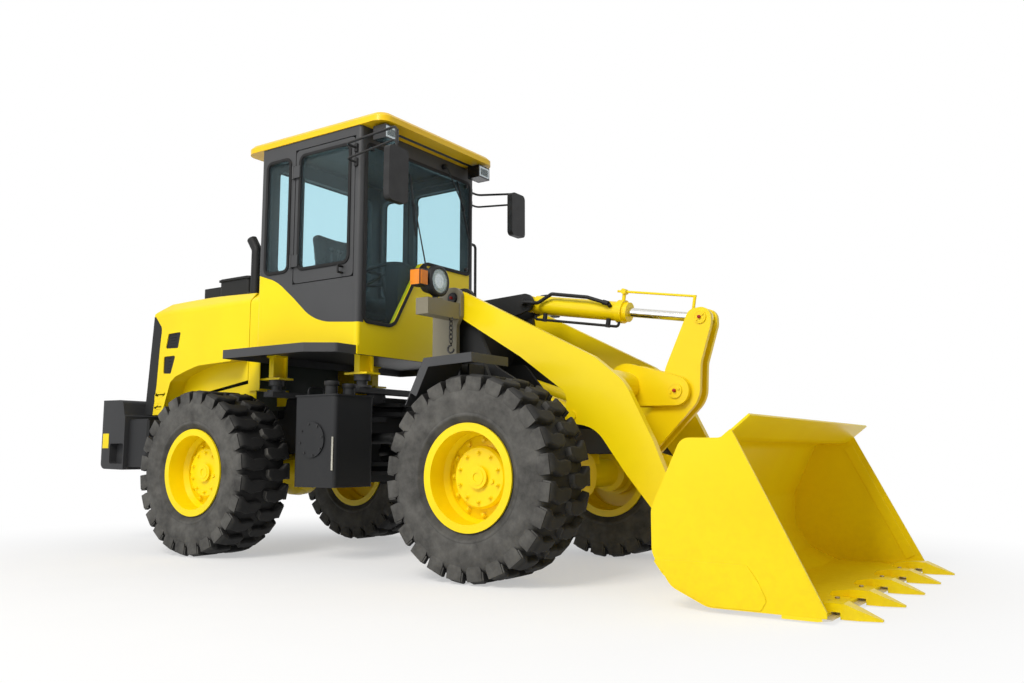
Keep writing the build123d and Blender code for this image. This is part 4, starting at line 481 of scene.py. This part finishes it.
def tyre_at_origin():
    """Carcass spun from its wall outline, with two rows of wavy bars over the tread."""
    carcass = outline("carcass", [(0, across, radius) for radius, across in TYRE_WALL])
    faces(carcass, lambda centre, normal: True)
    bpy.ops.mesh.delete(type="ONLY_FACE")
    everything(carcass)
    bpy.ops.mesh.spin(steps=96, angle=2 * math.pi, center=(0, 0, 0), axis=(0, 1, 0))
    bpy.ops.mesh.select_all(action="SELECT")
    bpy.ops.mesh.remove_doubles(threshold=0.0002)
    bpy.ops.mesh.normals_make_consistent(inside=False)
    clear()
    bar = box("bar", (-0.038, 0.010, 0.488), (0.038, 0.193, 0.5345))
    everything(bar)
    bpy.ops.mesh.subdivide(number_cuts=5)
    clear()
    # the bar swings forward, back and forward again on its way to the shoulder
    for low, high, swing in ((0.030, 0.075, 0.012), (0.075, 0.120, 0.020), (0.120, 0.150, 0.008),
                             (0.150, 0.200, -0.010)):
        points(bar, lambda co: low < co.y <= high)
        bpy.ops.transform.translate(value=(swing, 0, 0))
        clear()
    points(bar, lambda co: co.y > 0.150)
    bpy.ops.transform.resize(value=(1.25, 1, 1), center_override=(0, 0, 0))
    clear()
    points(bar, lambda co: co.y > 0.185)
    bpy.ops.transform.translate(value=(0, 0, -0.016))
    clear()
    points(bar, lambda co: co.y < 0.020)
    bpy.ops.transform.resize(value=(0.55, 1, 1), center_override=(0, 0, 0))
    clear()
    points(bar, lambda co: co.z > 0.528)
    bpy.ops.transform.resize(value=(0.80, 1, 1), center_override=(0.006, 0, 0))
    clear()
    block = box("shoulder", (-0.051, 0.172, 0.440), (0.043, 0.1975, 0.520))
    everything(block)
    bpy.ops.mesh.subdivide(number_cuts=2)
    clear()
    points(block, lambda co: co.z < 0.460)
    bpy.ops.transform.resize(value=(0.75, 1, 1), center_override=(0, 0, 0))
    bpy.ops.transform.translate(value=(0, -0.005, 0))
    clear()
    half_row = soften(join("row", [bar, block]), 0.0035, 2, 40)
    other = reflect(half_row, "row_inner")
    everything(other)
    step = math.pi / LUGS
    bpy.ops.transform.rotate(value=step, orient_axis="Y", center_override=(0, 0, 0))
    clear()
    ring(half_row, LUGS, (0, 0, 0), (0, 1, 0))
    ring(other, LUGS, (0, 0, 0), (0, 1, 0))
    return join("tyre", [carcass, half_row, other])


def ring_of_nuts(name, centre, side, radius, count, size):
    """Wheel nuts with washers and stud ends, on one circle."""
    x, y, z = centre
    nut = drum(name + "_nut", (x, y + side * 0.008, z + radius), size, 0.016, "Y", 6)
    faces(nut, lambda c, n: n.y * side > 0.9)
    rim_in(size * 0.30, 0.004)
    washer = drum(name + "_washer", (x, y + side * 0.0015, z + radius), size * 1.35, 0.003, "Y", 16)
    nut = soften(join(name, [nut, washer]), 0.0010, 1)
    return ring(nut, count, centre, (0, 1, 0))


def wheels():
    """Four treaded tyres, with nuts and hub plugs on the rims."""
    base = tyre_at_origin()
    for label, axle_x, side in (("front_right", FRONT_X, -1), ("front_left", FRONT_X, 1),
                                ("rear_right", REAR_X, -1), ("rear_left", REAR_X, 1)):
        body = label + "_wheel"
        tyre = twin(base, label + "_treaded_tyre", (axle_x, side * TRACK_Y, WHEEL_Z))
        done(tyre, RUBBER, body, 40)
        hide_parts(label + "_tyre")
        hub = (axle_x, side * (TRACK_Y + 0.064), WHEEL_Z)
        disc = (axle_x, side * (TRACK_Y + 0.014), WHEEL_Z)
        nuts = [ring_of_nuts("outer_nuts", disc, side, 0.195, 12, 0.0135),
                ring_of_nuts("cover_screws", hub, side, 0.128, 10, 0.0085)]
        plug = drum("plug", (hub[0], hub[1] + side * 0.007, hub[2]), 0.052, 0.014, "Y", 40)
        faces(plug, lambda c, n: n.y * side > 0.9)
        rim_in(0.010, 0.008)
        faces(plug, lambda c, n: n.y * side > 0.9)
        rim_in(0.018, -0.005)
        drain = drum("drain", (hub[0] + 0.085, hub[1] + side * 0.004, hub[2] - 0.020), 0.013,
                     0.010, "Y", 6)
        done(soften(join(label + "_hub_fittings", nuts + [plug, drain]), 0.0012, 1), YELLOW, body)
        stem = drum("stem", (axle_x + 0.150, side * (TRACK_Y + 0.030), WHEEL_Z + 0.150), 0.006,
                    0.050, "Y", 12)
        cap = drum("cap", (axle_x + 0.150, side * (TRACK_Y + 0.056), WHEEL_Z + 0.150), 0.008,
                   0.016, "Y", 12)
        guard = box("guard", (axle_x + 0.118, min(side * (TRACK_Y + 0.012), side * (TRACK_Y + 0.018)),
                              WHEEL_Z + 0.118),
                    (axle_x + 0.182, max(side * (TRACK_Y + 0.012), side * (TRACK_Y + 0.018)),
                     WHEEL_Z + 0.182))
        done(soften(join(label + "_valve", [stem, cap, guard]), 0.0015, 1), BOLT, body)
    bpy.data.objects.remove(base)


wheels()


# ---- windows: rubber seals, wipers ---------------------------------------
def seal(name, spots, corner, band, face, body, thick=0.012):
    """Extruded rubber gasket round a pane: a rounded frame, inset and drawn out."""
    piece = outline(name, spots)
    points(piece, lambda co: True)
    bpy.ops.mesh.bevel(offset=corner, affect="VERTICES", segments=6, offset_type="OFFSET")
    bpy.ops.mesh.select_all(action="SELECT")
    bpy.ops.mesh.select_mode(type="FACE")
    bpy.ops.mesh.inset(thickness=band, use_boundary=True)
    bpy.ops.mesh.delete(type="FACE")
    bpy.ops.mesh.select_all(action="SELECT")
    bpy.ops.mesh.extrude_region_move(TRANSFORM_OT_translate={"value": [v * thick for v in face]})
    bpy.ops.mesh.select_all(action="SELECT")
    bpy.ops.mesh.normals_make_consistent(inside=False)
    clear()
    soften(piece, 0.003, 2, 50)
    return done(piece, RUBBER_TRIM, body)


def upright(x0, x1, z0, z1, y):
    """Corners of a rectangle standing in a side wall."""
    return [(x0, y, z0), (x1, y, z0), (x1, y, z1), (x0, y, z1)]


def seals():
    """Gaskets of the side, front and rear panes."""
    for side, body, quarter in ((-1, "side_hatch_right", "quarter_seal_right"),
                                (1, "door_left", "quarter_seal_left")):
        y = side * (CAB_HALF + 0.001)
        seal(quarter, upright(CAB_REAR + 0.056, CAB_REAR + 0.304, 1.856, 2.654, y), 0.055,
             0.022, (0, side, 0), "rear_body", 0.007)
        seal(body + "_seal", upright(-0.753, -0.272, 1.856, 2.653, side * CAB_HALF), 0.055,
             0.022, (0, side, 0), body, 0.007)
    x = CAB_FRONT + 0.001
    screen = [(x, -0.562, 2.652), (x, -0.562, 1.472), (x, -0.262, 1.472), (x, 0.028, 1.944),
              (x, 0.562, 1.944), (x, 0.562, 2.652)]
    seal("windscreen_seal", screen, 0.055, 0.024, (1, 0, 0), "rear_body", 0.008)
    x = CAB_REAR - 0.001
    rear = [(x, -0.482, 1.888), (x, 0.482, 1.888), (x, 0.482, 2.652), (x, -0.482, 2.652)]
    seal("rear_window_seal", rear, 0.055, 0.022, (-1, 0, 0), "rear_body", 0.007)


def between(name, a, b, width, thick, lift=(1, 0, 0)):
    """Bar primitive laid from one point to another, wide across and thin along lift."""
    a, b, up = Vector(a), Vector(b), Vector(lift)
    way = (b - a).normalized()
    turn = Matrix((way.cross(up), way, up)).transposed().to_euler()
    return begin(name, "cube", size=1, location=(a + b) / 2, rotation=turn,
                 scale=(width, (b - a).length, thick))


def wiper(name, root, tip, lean):
    """Wiper: motor boss, sprung arm and a blade hinged near its end."""
    x = CAB_FRONT + 0.014
    boss = drum(name + "_boss", (x, root[0], root[1]), 0.020, 0.030, "X", 20)
    faces(boss, lambda c, n: n.x > 0.9)
    rim_in(0.006, 0.010)
    arm = between(name + "_arm", (x + 0.022, root[0], root[1]), (x + 0.016, tip[0], tip[1]),
                  0.012, 0.006)
    points(arm, lambda co: (co.yz - Vector(tip)).length < 0.03)
    bpy.ops.transform.resize(value=(1, 0.6, 1), center_override=(x, tip[0], tip[1]))
    clear()
    along = Vector((lean, -1.0)).normalized() * 0.21
    a, b = Vector(tip) - along, Vector(tip) + along
    blade = between(name + "_blade", (x + 0.004, a.x, a.y), (x + 0.004, b.x, b.y), 0.009, 0.016)
    hinge = drum(name + "_hinge", (x + 0.010, tip[0], tip[1]), 0.011, 0.018, "X", 16)
    piece = soften(join(name, [boss, arm, blade, hinge]), 0.0015, 1)
    return done(piece, BLACK_PLASTIC, "rear_body")


seals()
wiper("upper_wiper", (0.235, 2.690), (0.447, 2.420), 0.35)
wiper("lower_wiper", (0.024, 1.905), (-0.110, 2.330), 0.16)
for knob, (y, z) in enumerate(((-0.500, 2.610), (0.500, 2.610), (0.500, 1.990))):
    cap = drum("screen_knob_%d" % knob, (CAB_FRONT + 0.006, y, z), 0.014, 0.018, "X", 20)
    faces(cap, lambda c, n: n.x > 0.9)
    rim_in(0.004, 0.003)
    done(soften(cap, 0.002, 2), BLACK_PLASTIC, "rear_body")


# ---- lamps and mirrors ---------------------------------------------------
LAMP_FACE_X, LAMP_Y, LAMP_Z = 0.4585, 0.598, 1.663
WORK_LAMP_Y = 0.500


def headlamp_face(side, label):
    """Bezel ring, pressed glass, reflector, and the amber flasher lens beside it."""
    x, y, z = LAMP_FACE_X, side * LAMP_Y, LAMP_Z
    glass = drum("headlamp_glass_" + label, (x, y, z), 0.070, 0.010, "X", 48)
    for inward, push in ((0.014, 0.004), (0.026, 0.003)):
        faces(glass, lambda c, n: n.x > 0.9)
        rim_in(inward, push)
    done(soften(glass, 0.002, 2), LENS, "front_body")
    bezel = begin("headlamp_bezel_" + label, "torus", major_radius=0.080, minor_radius=0.011,
                  major_segments=56, minor_segments=12, location=(x - 0.003, y, z),
                  rotation=(0, math.pi / 2, 0))
    points(bezel, lambda co: co.x > x + 0.004)
    bpy.ops.transform.resize(value=(1, 0.97, 0.97), center_override=(x, y, z))
    clear()
    done(bezel, BLACK_PLASTIC, "front_body", 60)
    bowl = drum("headlamp_reflector_" + label, (x - 0.001, y, z), 0.067, 0.003, "X", 48)
    faces(bowl, lambda c, n: n.x > 0.9)
    rim_in(0.046, -0.0012)
    done(bowl, MIRROR_GLASS, "front_body")
    inner, outer = sorted((side * 0.704, side * 0.764))
    lens = box("flasher_lens_" + label, (0.4535, inner, 1.624), (0.4575, outer, 1.706))
    faces(lens, lambda c, n: n.x > 0.9)
    rim_in(0.006, 0.0005)
    faces(lens, lambda c, n: n.x > 0.9)
    bpy.ops.mesh.subdivide(number_cuts=7)
    clear()
    done(soften(lens, 0.001, 2), AMBER, "front_body")
    inner, outer = sorted((side * 0.7695, side * 0.7735))
    end = box("flasher_side_" + label, (0.384, inner, 1.622), (0.450, outer, 1.708))
    faces(end, lambda c, n: n.y * side > 0.9)
    rim_in(0.007, 0.0004)
    done(soften(end, 0.001, 2), AMBER, "front_body")


for side, label in SIDES:
    headlamp_face(side, label)


def lens_plate(name, low, high, face, material, rim):
    """Thin lens or mirror on the cab: its outer face is framed, sunk 1.2 mm and divided."""
    piece = box(name, low, high)
    faces(piece, lambda c, n: n.dot(Vector(face)) > 0.9)
    rim_in(rim, -0.0012)
    faces(piece, lambda c, n: n.dot(Vector(face)) > 0.9)
    bpy.ops.mesh.subdivide(number_cuts=4)
    clear()
    return done(soften(piece, 0.0008, 1), material, "rear_body")


for side, label in SIDES:
    y = side * WORK_LAMP_Y
    lens_plate("work_lamp_glass_" + label, (-0.0198, y - 0.055, 2.653),
               (-0.0150, y + 0.055, 2.723), (1, 0, 0), LENS, 0.005)
    lens_plate("work_lamp_reflector_" + label, (-0.0200, y - 0.056, 2.652),
               (-0.0192, y + 0.056, 2.724), (1, 0, 0), MIRROR_GLASS, 0.012)
lens_plate("mirror_glass_right", (0.2545, -0.860, 2.140), (0.2565, -0.720, 2.432), (-1, 0, 0),
           MIRROR_GLASS, 0.004)
lens_plate("mirror_glass_left", (0.0405, 0.720, 2.277), (0.0425, 0.860, 2.560), (-1, 0, 0),
           MIRROR_GLASS, 0.004)


# ---- pins, bolts, bucket and plate ---------------------------------------
def bolt(name, place, out, size):
    """Hexagon bolt with its washer, standing along X, Y or Z; out is the way it faces."""
    axis = "XYZ"[[abs(v) > 0.5 for v in out].index(True)]
    at = Vector(place)
    step = Vector(out)
    head = drum(name, at + step * size * 0.42, size, size * 0.70, axis, 6)
    faces(head, lambda c, n: n.dot(step) > 0.9)
    rim_in(size * 0.14, size * 0.05)
    washer = drum(name + "_washer", at + step * size * 0.06, size * 1.4, size * 0.12, axis, 18)
    return join(name, [head, washer])


def pin_end(name, spot, y, side, radius, material, body, lean=0.0, grease=True):
    """Pin head with a sunk face, two bolts set at the lean in degrees, and a grease cap."""
    x, z = spot
    head = drum(name, (x, y + side * 0.004, z), radius, 0.008, "Y", 36)
    faces(head, lambda c, n: n.y * side > 0.9)
    rim_in(radius * 0.22, -0.0015)
    parts = [head]
    for end in (-1, 1):
        a = math.radians(lean) + (0 if end > 0 else math.pi)
        spot_x, spot_z = x + math.cos(a) * radius * 0.62, z + math.sin(a) * radius * 0.62
        parts.append(bolt(name + "_bolt", (spot_x, y + side * 0.007, spot_z), (0, side, 0), 0.0075))
    piece = soften(join(name, parts), 0.0008, 1)
    done(piece, material, body)
    if grease:
        cap = drum(name + "_grease_cap", (x, y + side * 0.012, z), 0.0095, 0.014, "Y", 16)
        faces(cap, lambda c, n: n.y * side > 0.9)
        rim_in(0.003, 0.003)
        done(soften(cap, 0.001, 2), RED_CAP, body)


def weld(name, spots, radius, side):
    """Painted bead of weld on the bucket, laid from point to point."""
    parts = []
    for a, b in zip(spots, spots[1:]):
        parts.append(between(name + "_run", a, b, radius * 2, radius, (0, side, 0)))
    piece = join(name, parts)
    everything(piece)
    bpy.ops.mesh.subdivide(number_cuts=2)
    clear()
    return done(soften(piece, radius * 0.4, 2), YELLOW, "bucket")


def linkage_pins():
    """Pin heads of the linkage, one at each side."""
    for side, label in SIDES:
        pin_end("crank_top_pin_" + label, CRANK_TOP, side * 0.060, side, 0.036, YELLOW,
                "bellcrank", 40)
        pin_end("crank_pin_" + label, CRANK_PIN, side * 0.096, side, 0.042, YELLOW, "boom", 20)
        pin_end("crank_low_pin_" + label, CRANK_LOW, side * 0.060, side, 0.032, YELLOW,
                "bellcrank", 90)
        pin_end("bucket_pin_" + label, BUCKET_PIN, side * 0.425, side, 0.036, YELLOW, "bucket", 60)
        pin_end("arm_pin_" + label, LIFT_PIN, side * 0.437, side, 0.030, BOLT, "front_body", 0)
        pin_end("tilt_base_pin_" + label, TILT_BASE, side * 0.111, side, 0.013, BOLT,
                "front_body", 0, False)


def edge_bolts():
    """Three bolts through the edge plate in each space between two teeth."""
    row = []
    for y in (-1.5 * TOOTH_PITCH, -0.5 * TOOTH_PITCH, 0.5 * TOOTH_PITCH, 1.5 * TOOTH_PITCH):
        for shift in (-0.11, 0.0, 0.11):
            row.append(bolt("edge_bolt", (2.640, y + shift, 0.0305), (0, 0, 1), 0.011))
    done(soften(join("cutting_edge_bolts", row), 0.0008, 1), WORN_STEEL, "bucket")


def bucket_sides():
    """Weld bead round each wear plate, and the cutter strip inside each side plate."""
    bead = [(2.002, 0.200), (2.200, 0.204), (2.412, 0.202), (2.452, 0.148), (2.486, 0.078),
            (2.470, 0.036), (2.260, 0.036), (2.180, 0.060), (2.095, 0.104), (2.040, 0.150),
            (2.002, 0.200)]
    for side, label in SIDES:
        weld("wear_plate_bead_" + label, [(x, side * (HALF_BUCKET + 0.0015), z) for x, z in bead],
             0.0045, side)
        strip_y = side * (HALF_BUCKET - 0.0155)
        strip = between("side_cutter_" + label, (2.332, strip_y, 0.700),
                        (2.652, strip_y, 0.072), 0.052, 0.005, (0, side, 0))
        done(soften(strip, 0.001, 1), YELLOW, "bucket")


def blank_plate():
    """Plain yellow plate on the counterweight's right side."""
    plate = box("blank_plate_upper", (-2.744, -0.6820, 0.700), (-2.668, -0.6805, 0.810))
    faces(plate, lambda c, n: n.y < -0.9)
    rim_in(0.004, 0.0004)
    done(soften(plate, 0.0006, 1), YELLOW, "rear_body")


linkage_pins()
edge_bolts()
bucket_sides()
blank_plate()


# ---- cab outside and inside ----------------------------------------------
def grip(name, a, b, out, radius, body):
    """Bow handle: a bar held 45 mm off the panel by two feet."""
    lift = Vector(out)
    ends = (Vector(a), Vector(b))
    bar = between(name, ends[0] + lift * 0.045, ends[1] + lift * 0.045, radius * 2, radius * 2, out)
    feet = [between(name + "_foot", spot, spot + lift * 0.050, radius * 2.2, radius * 2.2,
                    lift.orthogonal()) for spot in ends]
    return done(soften(join(name, [bar] + feet), radius * 0.7, 3), BLACK_PLASTIC, body)


def knob(name, place, radius):
    """Lever knob: a ball drawn out to its shaft."""
    ball = begin(name, "uv_sphere", radius=radius, segments=24, ring_count=14, location=place)
    points(ball, lambda co: co.z < place[2] - radius * 0.35)
    bpy.ops.transform.resize(value=(0.6, 0.6, 1.5), center_override=place)
    clear()
    return done(ball, BLACK_PLASTIC, "rear_body", 60)


def roof_lining():
    """Black frame under the roof's overhang, and the vinyl liner inside the cab."""
    soffit = box("roof_soffit", (-1.285, -0.598, 2.7370), (-0.015, 0.598, 2.7495))
    points(soffit, lambda co: co.z < 2.745)
    bpy.ops.transform.resize(value=(0.985, 0.975, 1), center_override=(-0.65, 0, 2.75))
    clear()
    for way in (-1, 1):
        faces(soffit, lambda c, n: n.z * way > 0.9)
        bpy.ops.mesh.inset(thickness=0.10)
        bpy.ops.mesh.delete(type="FACE")
        clear()
    everything(soffit)
    bpy.ops.mesh.select_mode(type="EDGE")
    bpy.ops.mesh.select_non_manifold()
    bpy.ops.mesh.bridge_edge_loops()
    clear()
    done(soffit, BLACK_PLASTIC, "rear_body")
    liner = box("cab_headliner", (-1.083, -0.553, 2.7390), (-0.237, 0.553, 2.7480))
    faces(liner, lambda c, n: n.z < -0.9)
    rim_in(0.060, -0.003)
    done(soften(liner, 0.002, 2), VINYL, "rear_body")


def handles():
    """Bow handles of the hatch and the door."""
    grip("hatch_handle", (-0.330, -0.599, 1.800), (-0.330, -0.599, 1.840), (0, -1, 0), 0.006,
         "side_hatch_right")
    grip("door_handle", (-0.300, 0.599, 1.640), (-0.300, 0.599, 1.780), (0, 1, 0), 0.008,
         "door_left")


def driver_controls():
    """Knobs of the two levers and the three dials of the dashboard."""
    knob("bucket_lever_knob", (-0.560, -0.470, 1.998), 0.022)
    knob("lift_lever_knob", (-0.560, -0.400, 1.998), 0.022)
    for number, (y, z) in enumerate(((-0.10, 1.86), (0.0, 1.87), (0.10, 1.86))):
        dial = drum("dial_%d" % number, (-0.3415, y, z), 0.034, 0.006, "X", 32)
        faces(dial, lambda c, n: n.x < -0.9)
        rim_in(0.005, -0.002)
        done(soften(dial, 0.001, 2), RUBBER_TRIM, "rear_body")


def tank_fittings():
    """Cover bolts, filler and breather caps, and the sight gauge of the hydraulic tank."""
    cover_x, cover_z, bolt_circle, bolts = -0.370, 0.743, 0.095, 8
    cover = []
    for number in range(bolts):
        turn = 2 * math.pi / bolts * number + 0.2
        cover.append(bolt("cover_bolt", (cover_x + math.cos(turn) * bolt_circle, -0.7952,
                                         cover_z + math.sin(turn) * bolt_circle), (0, -1, 0), 0.007))
    done(soften(join("tank_cover_bolts", cover), 0.0006, 1), BOLT, "rear_body")
    for label, x, y, z, radius in (("filler", -0.300, -0.700, 1.075, 0.046),
                                   ("breather", -0.240, -0.610, 1.060, 0.044)):
        cap = drum("tank_%s_cap" % label, (x, y, z + 0.014), radius, 0.028, "Z", 24)
        faces(cap, lambda c, n: n.z > 0.9)
        rim_in(0.010, -0.004)
        done(soften(cap, 0.003, 2), BLACK_PLASTIC, "rear_body")
    gauge = box("tank_sight_gauge", (-0.200, -0.7905, 0.560), (-0.186, -0.7848, 0.760))
    faces(gauge, lambda c, n: n.y < -0.9)
    rim_in(0.003, -0.002)
    done(soften(gauge, 0.001, 2), ZINC, "rear_body")


def hood_latches():
    """Sunk latch plate with a raised catch, low on each side of the hood."""
    for side, label in SIDES:
        inner, outer = sorted((side * 0.5605, side * 0.5635))
        latch = box("hood_latch_" + label, (-2.292, inner, 1.000), (-2.150, outer, 1.100))
        faces(latch, lambda c, n: n.y * side > 0.9)
        rim_in(0.010, -0.0015)
        faces(latch, lambda c, n: n.y * side > 0.9 and abs(c.x + 2.221) < 0.02)
        rim_in(0.022, 0.0012)
        done(soften(latch, 0.001, 1), YELLOW, "hood")


roof_lining()
handles()
driver_controls()
tank_fittings()
hood_latches()


def chain():
    """Short chain with an open hook, hanging from the lamp bracket."""
    x, y, top, links, pitch = 0.470, -0.500, 1.448, 6, 0.026
    parts = []
    for number in range(links):
        middle = (x, y, top - number * pitch)
        link = begin("link", "torus", major_radius=0.012, minor_radius=0.0032, major_segments=20,
                     minor_segments=8, location=middle,
                     rotation=(math.pi / 2, 0, math.pi / 2 * (number % 2)))
        everything(link)
        bpy.ops.transform.resize(value=(1, 1, 1.35), center_override=middle)
        clear()
        parts.append(link)
    hook = begin("hook", "torus", major_radius=0.022, minor_radius=0.0055, major_segments=28,
                 minor_segments=10, location=(x, y, 1.270), rotation=(math.pi / 2, 0, 0))
    faces(hook, lambda c, n: c.x > x + 0.004 and c.z > 1.272)
    bpy.ops.mesh.delete(type="FACE")
    everything(hook)
    bpy.ops.mesh.fill_holes(sides=0)
    clear()
    return done(join("safety_chain", parts + [hook]), BOLT, "front_body", 60)


chain()


# ---- seat ----------------------------------------------------------------
def pad(name, low, high, crown, corner, lean=0.0):
    """Foam pad in a sewn cover: remeshed, blown up by cloth pressure by no more than its
    crown, then smoothed. Its upper half is moved forward by the lean."""
    piece = box(name, low, high)
    soften(piece, corner, 4, 40)
    if lean:
        points(piece, lambda co: co.z > (low[2] + high[2]) / 2)
        bpy.ops.transform.translate(value=(lean, 0, 0))
        clear()
    take(piece)
    grid = piece.modifiers.new("grid", "REMESH")
    grid.mode, grid.voxel_size = "VOXEL", 0.006
    bpy.ops.object.modifier_apply(modifier=grid.name)
    before = [v.co.copy() for v in piece.data.vertices]
    cloth = piece.modifiers.new("foam", "CLOTH")
    cloth.settings.use_pressure = True
    cloth.settings.uniform_pressure_force = 4.0
    cloth.settings.effector_weights.gravity = 0.0
    for frame_number in range(1, 21):
        bpy.context.scene.frame_set(frame_number)
    take(piece)
    bpy.ops.object.modifier_apply(modifier=cloth.name)
    for spot, was in zip(piece.data.vertices, before):
        move = spot.co - was
        if move.length > crown:
            spot.co = was + move.normalized() * crown
    bpy.context.scene.frame_set(1)
    smooth = piece.modifiers.new("smooth", "SUBSURF")
    smooth.levels = smooth.render_levels = 1
    bpy.ops.object.modifier_apply(modifier=smooth.name)
    return piece


def seat():
    """Cushion and backrest in vinyl."""
    crown = 0.018
    cushion = pad("seat_cushion", (-1.020, -0.220, 1.662), (-0.572, 0.220, 1.738), crown, 0.030)
    back = pad("seat_backrest", (-1.010, -0.205, 1.775), (-0.930, 0.205, 2.235), crown, 0.034,
               -0.048)
    for piece in (cushion, back):
        done(piece, VINYL, "rear_body", 60)
    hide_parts("seat_cushions")


seat()


# ---- stage, light and camera --------------------------------------------
def stage_floor():
    """Pale floor that reads white and keeps the shadow, and a white surrounding."""
    bpy.ops.object.select_all(action="DESELECT")
    bpy.ops.mesh.primitive_plane_add(size=60, location=(0, 0, 0))
    floor = bpy.context.object
    floor.name = "studio_floor"
    made, tree, bsdf, place = start("pale_studio_floor", Roughness=0.9)
    grain = add(tree, "TexNoise", {"Vector": place, "Scale": 2.0, "Detail": 2.0})
    colour = ramp(tree, grain.outputs["Fac"], [(0.3, "#F4F4F4"), (0.7, "#F7F7F7")])
    tree.links.new(colour, bsdf.inputs["Base Color"])
    # past a few metres the floor runs out into the white surround
    away = add(tree, "VectorMath", {0: place}, operation="LENGTH")
    fade = add(tree, "MapRange", {"Value": away.outputs["Value"], "From Min": 1.2,
                                  "From Max": 4.6, "To Min": 0.45},
               interpolation_type="SMOOTHSTEP")
    paths = add(tree, "LightPath")
    seen = add(tree, "Math", {0: paths.outputs["Is Camera Ray"], 1: paths.outputs["Is Glossy Ray"]},
               operation="MAXIMUM")
    seen = add(tree, "Math", {0: seen.outputs[0], 1: paths.outputs["Is Transmission Ray"]},
               operation="MAXIMUM")
    amount = add(tree, "Math", {0: seen.outputs[0], 1: fade.outputs[0]}, operation="MULTIPLY")
    white = add(tree, "Emission", {"Color": (1, 1, 1, 1), "Strength": 1.0})
    both = add(tree, "MixShader", {0: amount.outputs[0], 1: bsdf.outputs[0],
                                   2: white.outputs[0]})
    tree.links.new(both.outputs[0], tree.nodes["Material Output"].inputs["Surface"])
    floor.data.materials.append(made)


stage_floor()
scene = bpy.context.scene
scene.view_settings.view_transform = "Standard"
world = bpy.data.worlds.new("studio")
scene.world = world
world.use_nodes = True
tree = world.node_tree
rays = add(tree, "LightPath")
seen = add(tree, "Math", {0: rays.outputs["Is Camera Ray"], 1: rays.outputs["Is Transmission Ray"]},
           operation="MAXIMUM")
seen = add(tree, "Math", {0: seen.outputs[0], 1: rays.outputs["Is Glossy Ray"]},
           operation="MAXIMUM")
plain = tree.nodes["Background"]
plain.inputs["Color"].default_value = hex_colour("#EEF2F6")
plain.inputs["Strength"].default_value = 0.40
white = add(tree, "Background", {"Color": (1, 1, 1, 1), "Strength": 1.0})
both = add(tree, "MixShader", {0: seen.outputs[0], 1: plain.outputs[0], 2: white.outputs[0]})
tree.links.new(both.outputs[0], tree.nodes["World Output"].inputs["Surface"])


def lamp(name, place, aim, size, power, colour="#FFFFFF"):
    """Square soft lamp turned towards a point."""
    light = bpy.data.lights.new(name, "AREA")
    light.size, light.energy = size, power
    light.color = hex_colour(colour)[:3]
    body = bpy.data.objects.new(name, light)
    scene.collection.objects.link(body)
    body.location = place
    body.rotation_euler = (Vector(aim) - Vector(place)).to_track_quat("-Z", "Y").to_euler()


lamp("key", (1.0, -6.5, 6.5), (0, 0, 1.0), 3.0, 470, "#FFFAF2")
lamp("side", (-3.0, -8.0, 3.0), (-0.5, 0, 1.2), 5.0, 110)
lamp("front", (9.0, 1.0, 3.0), (1.0, 0, 0.8), 5.0, 30)

camera = bpy.data.cameras.new("camera")
camera.sensor_width = 36.0
camera.lens = 32.035
camera_body = bpy.data.objects.new("camera", camera)
scene.collection.objects.link(camera_body)
camera_body.location = (3.765, -4.700, 0.660)
YAW, PITCH = math.radians(124.25), math.radians(7.01)
camera_body.rotation_euler = (math.pi / 2 + PITCH, 0.0, YAW - math.pi / 2)
scene.camera = camera_body
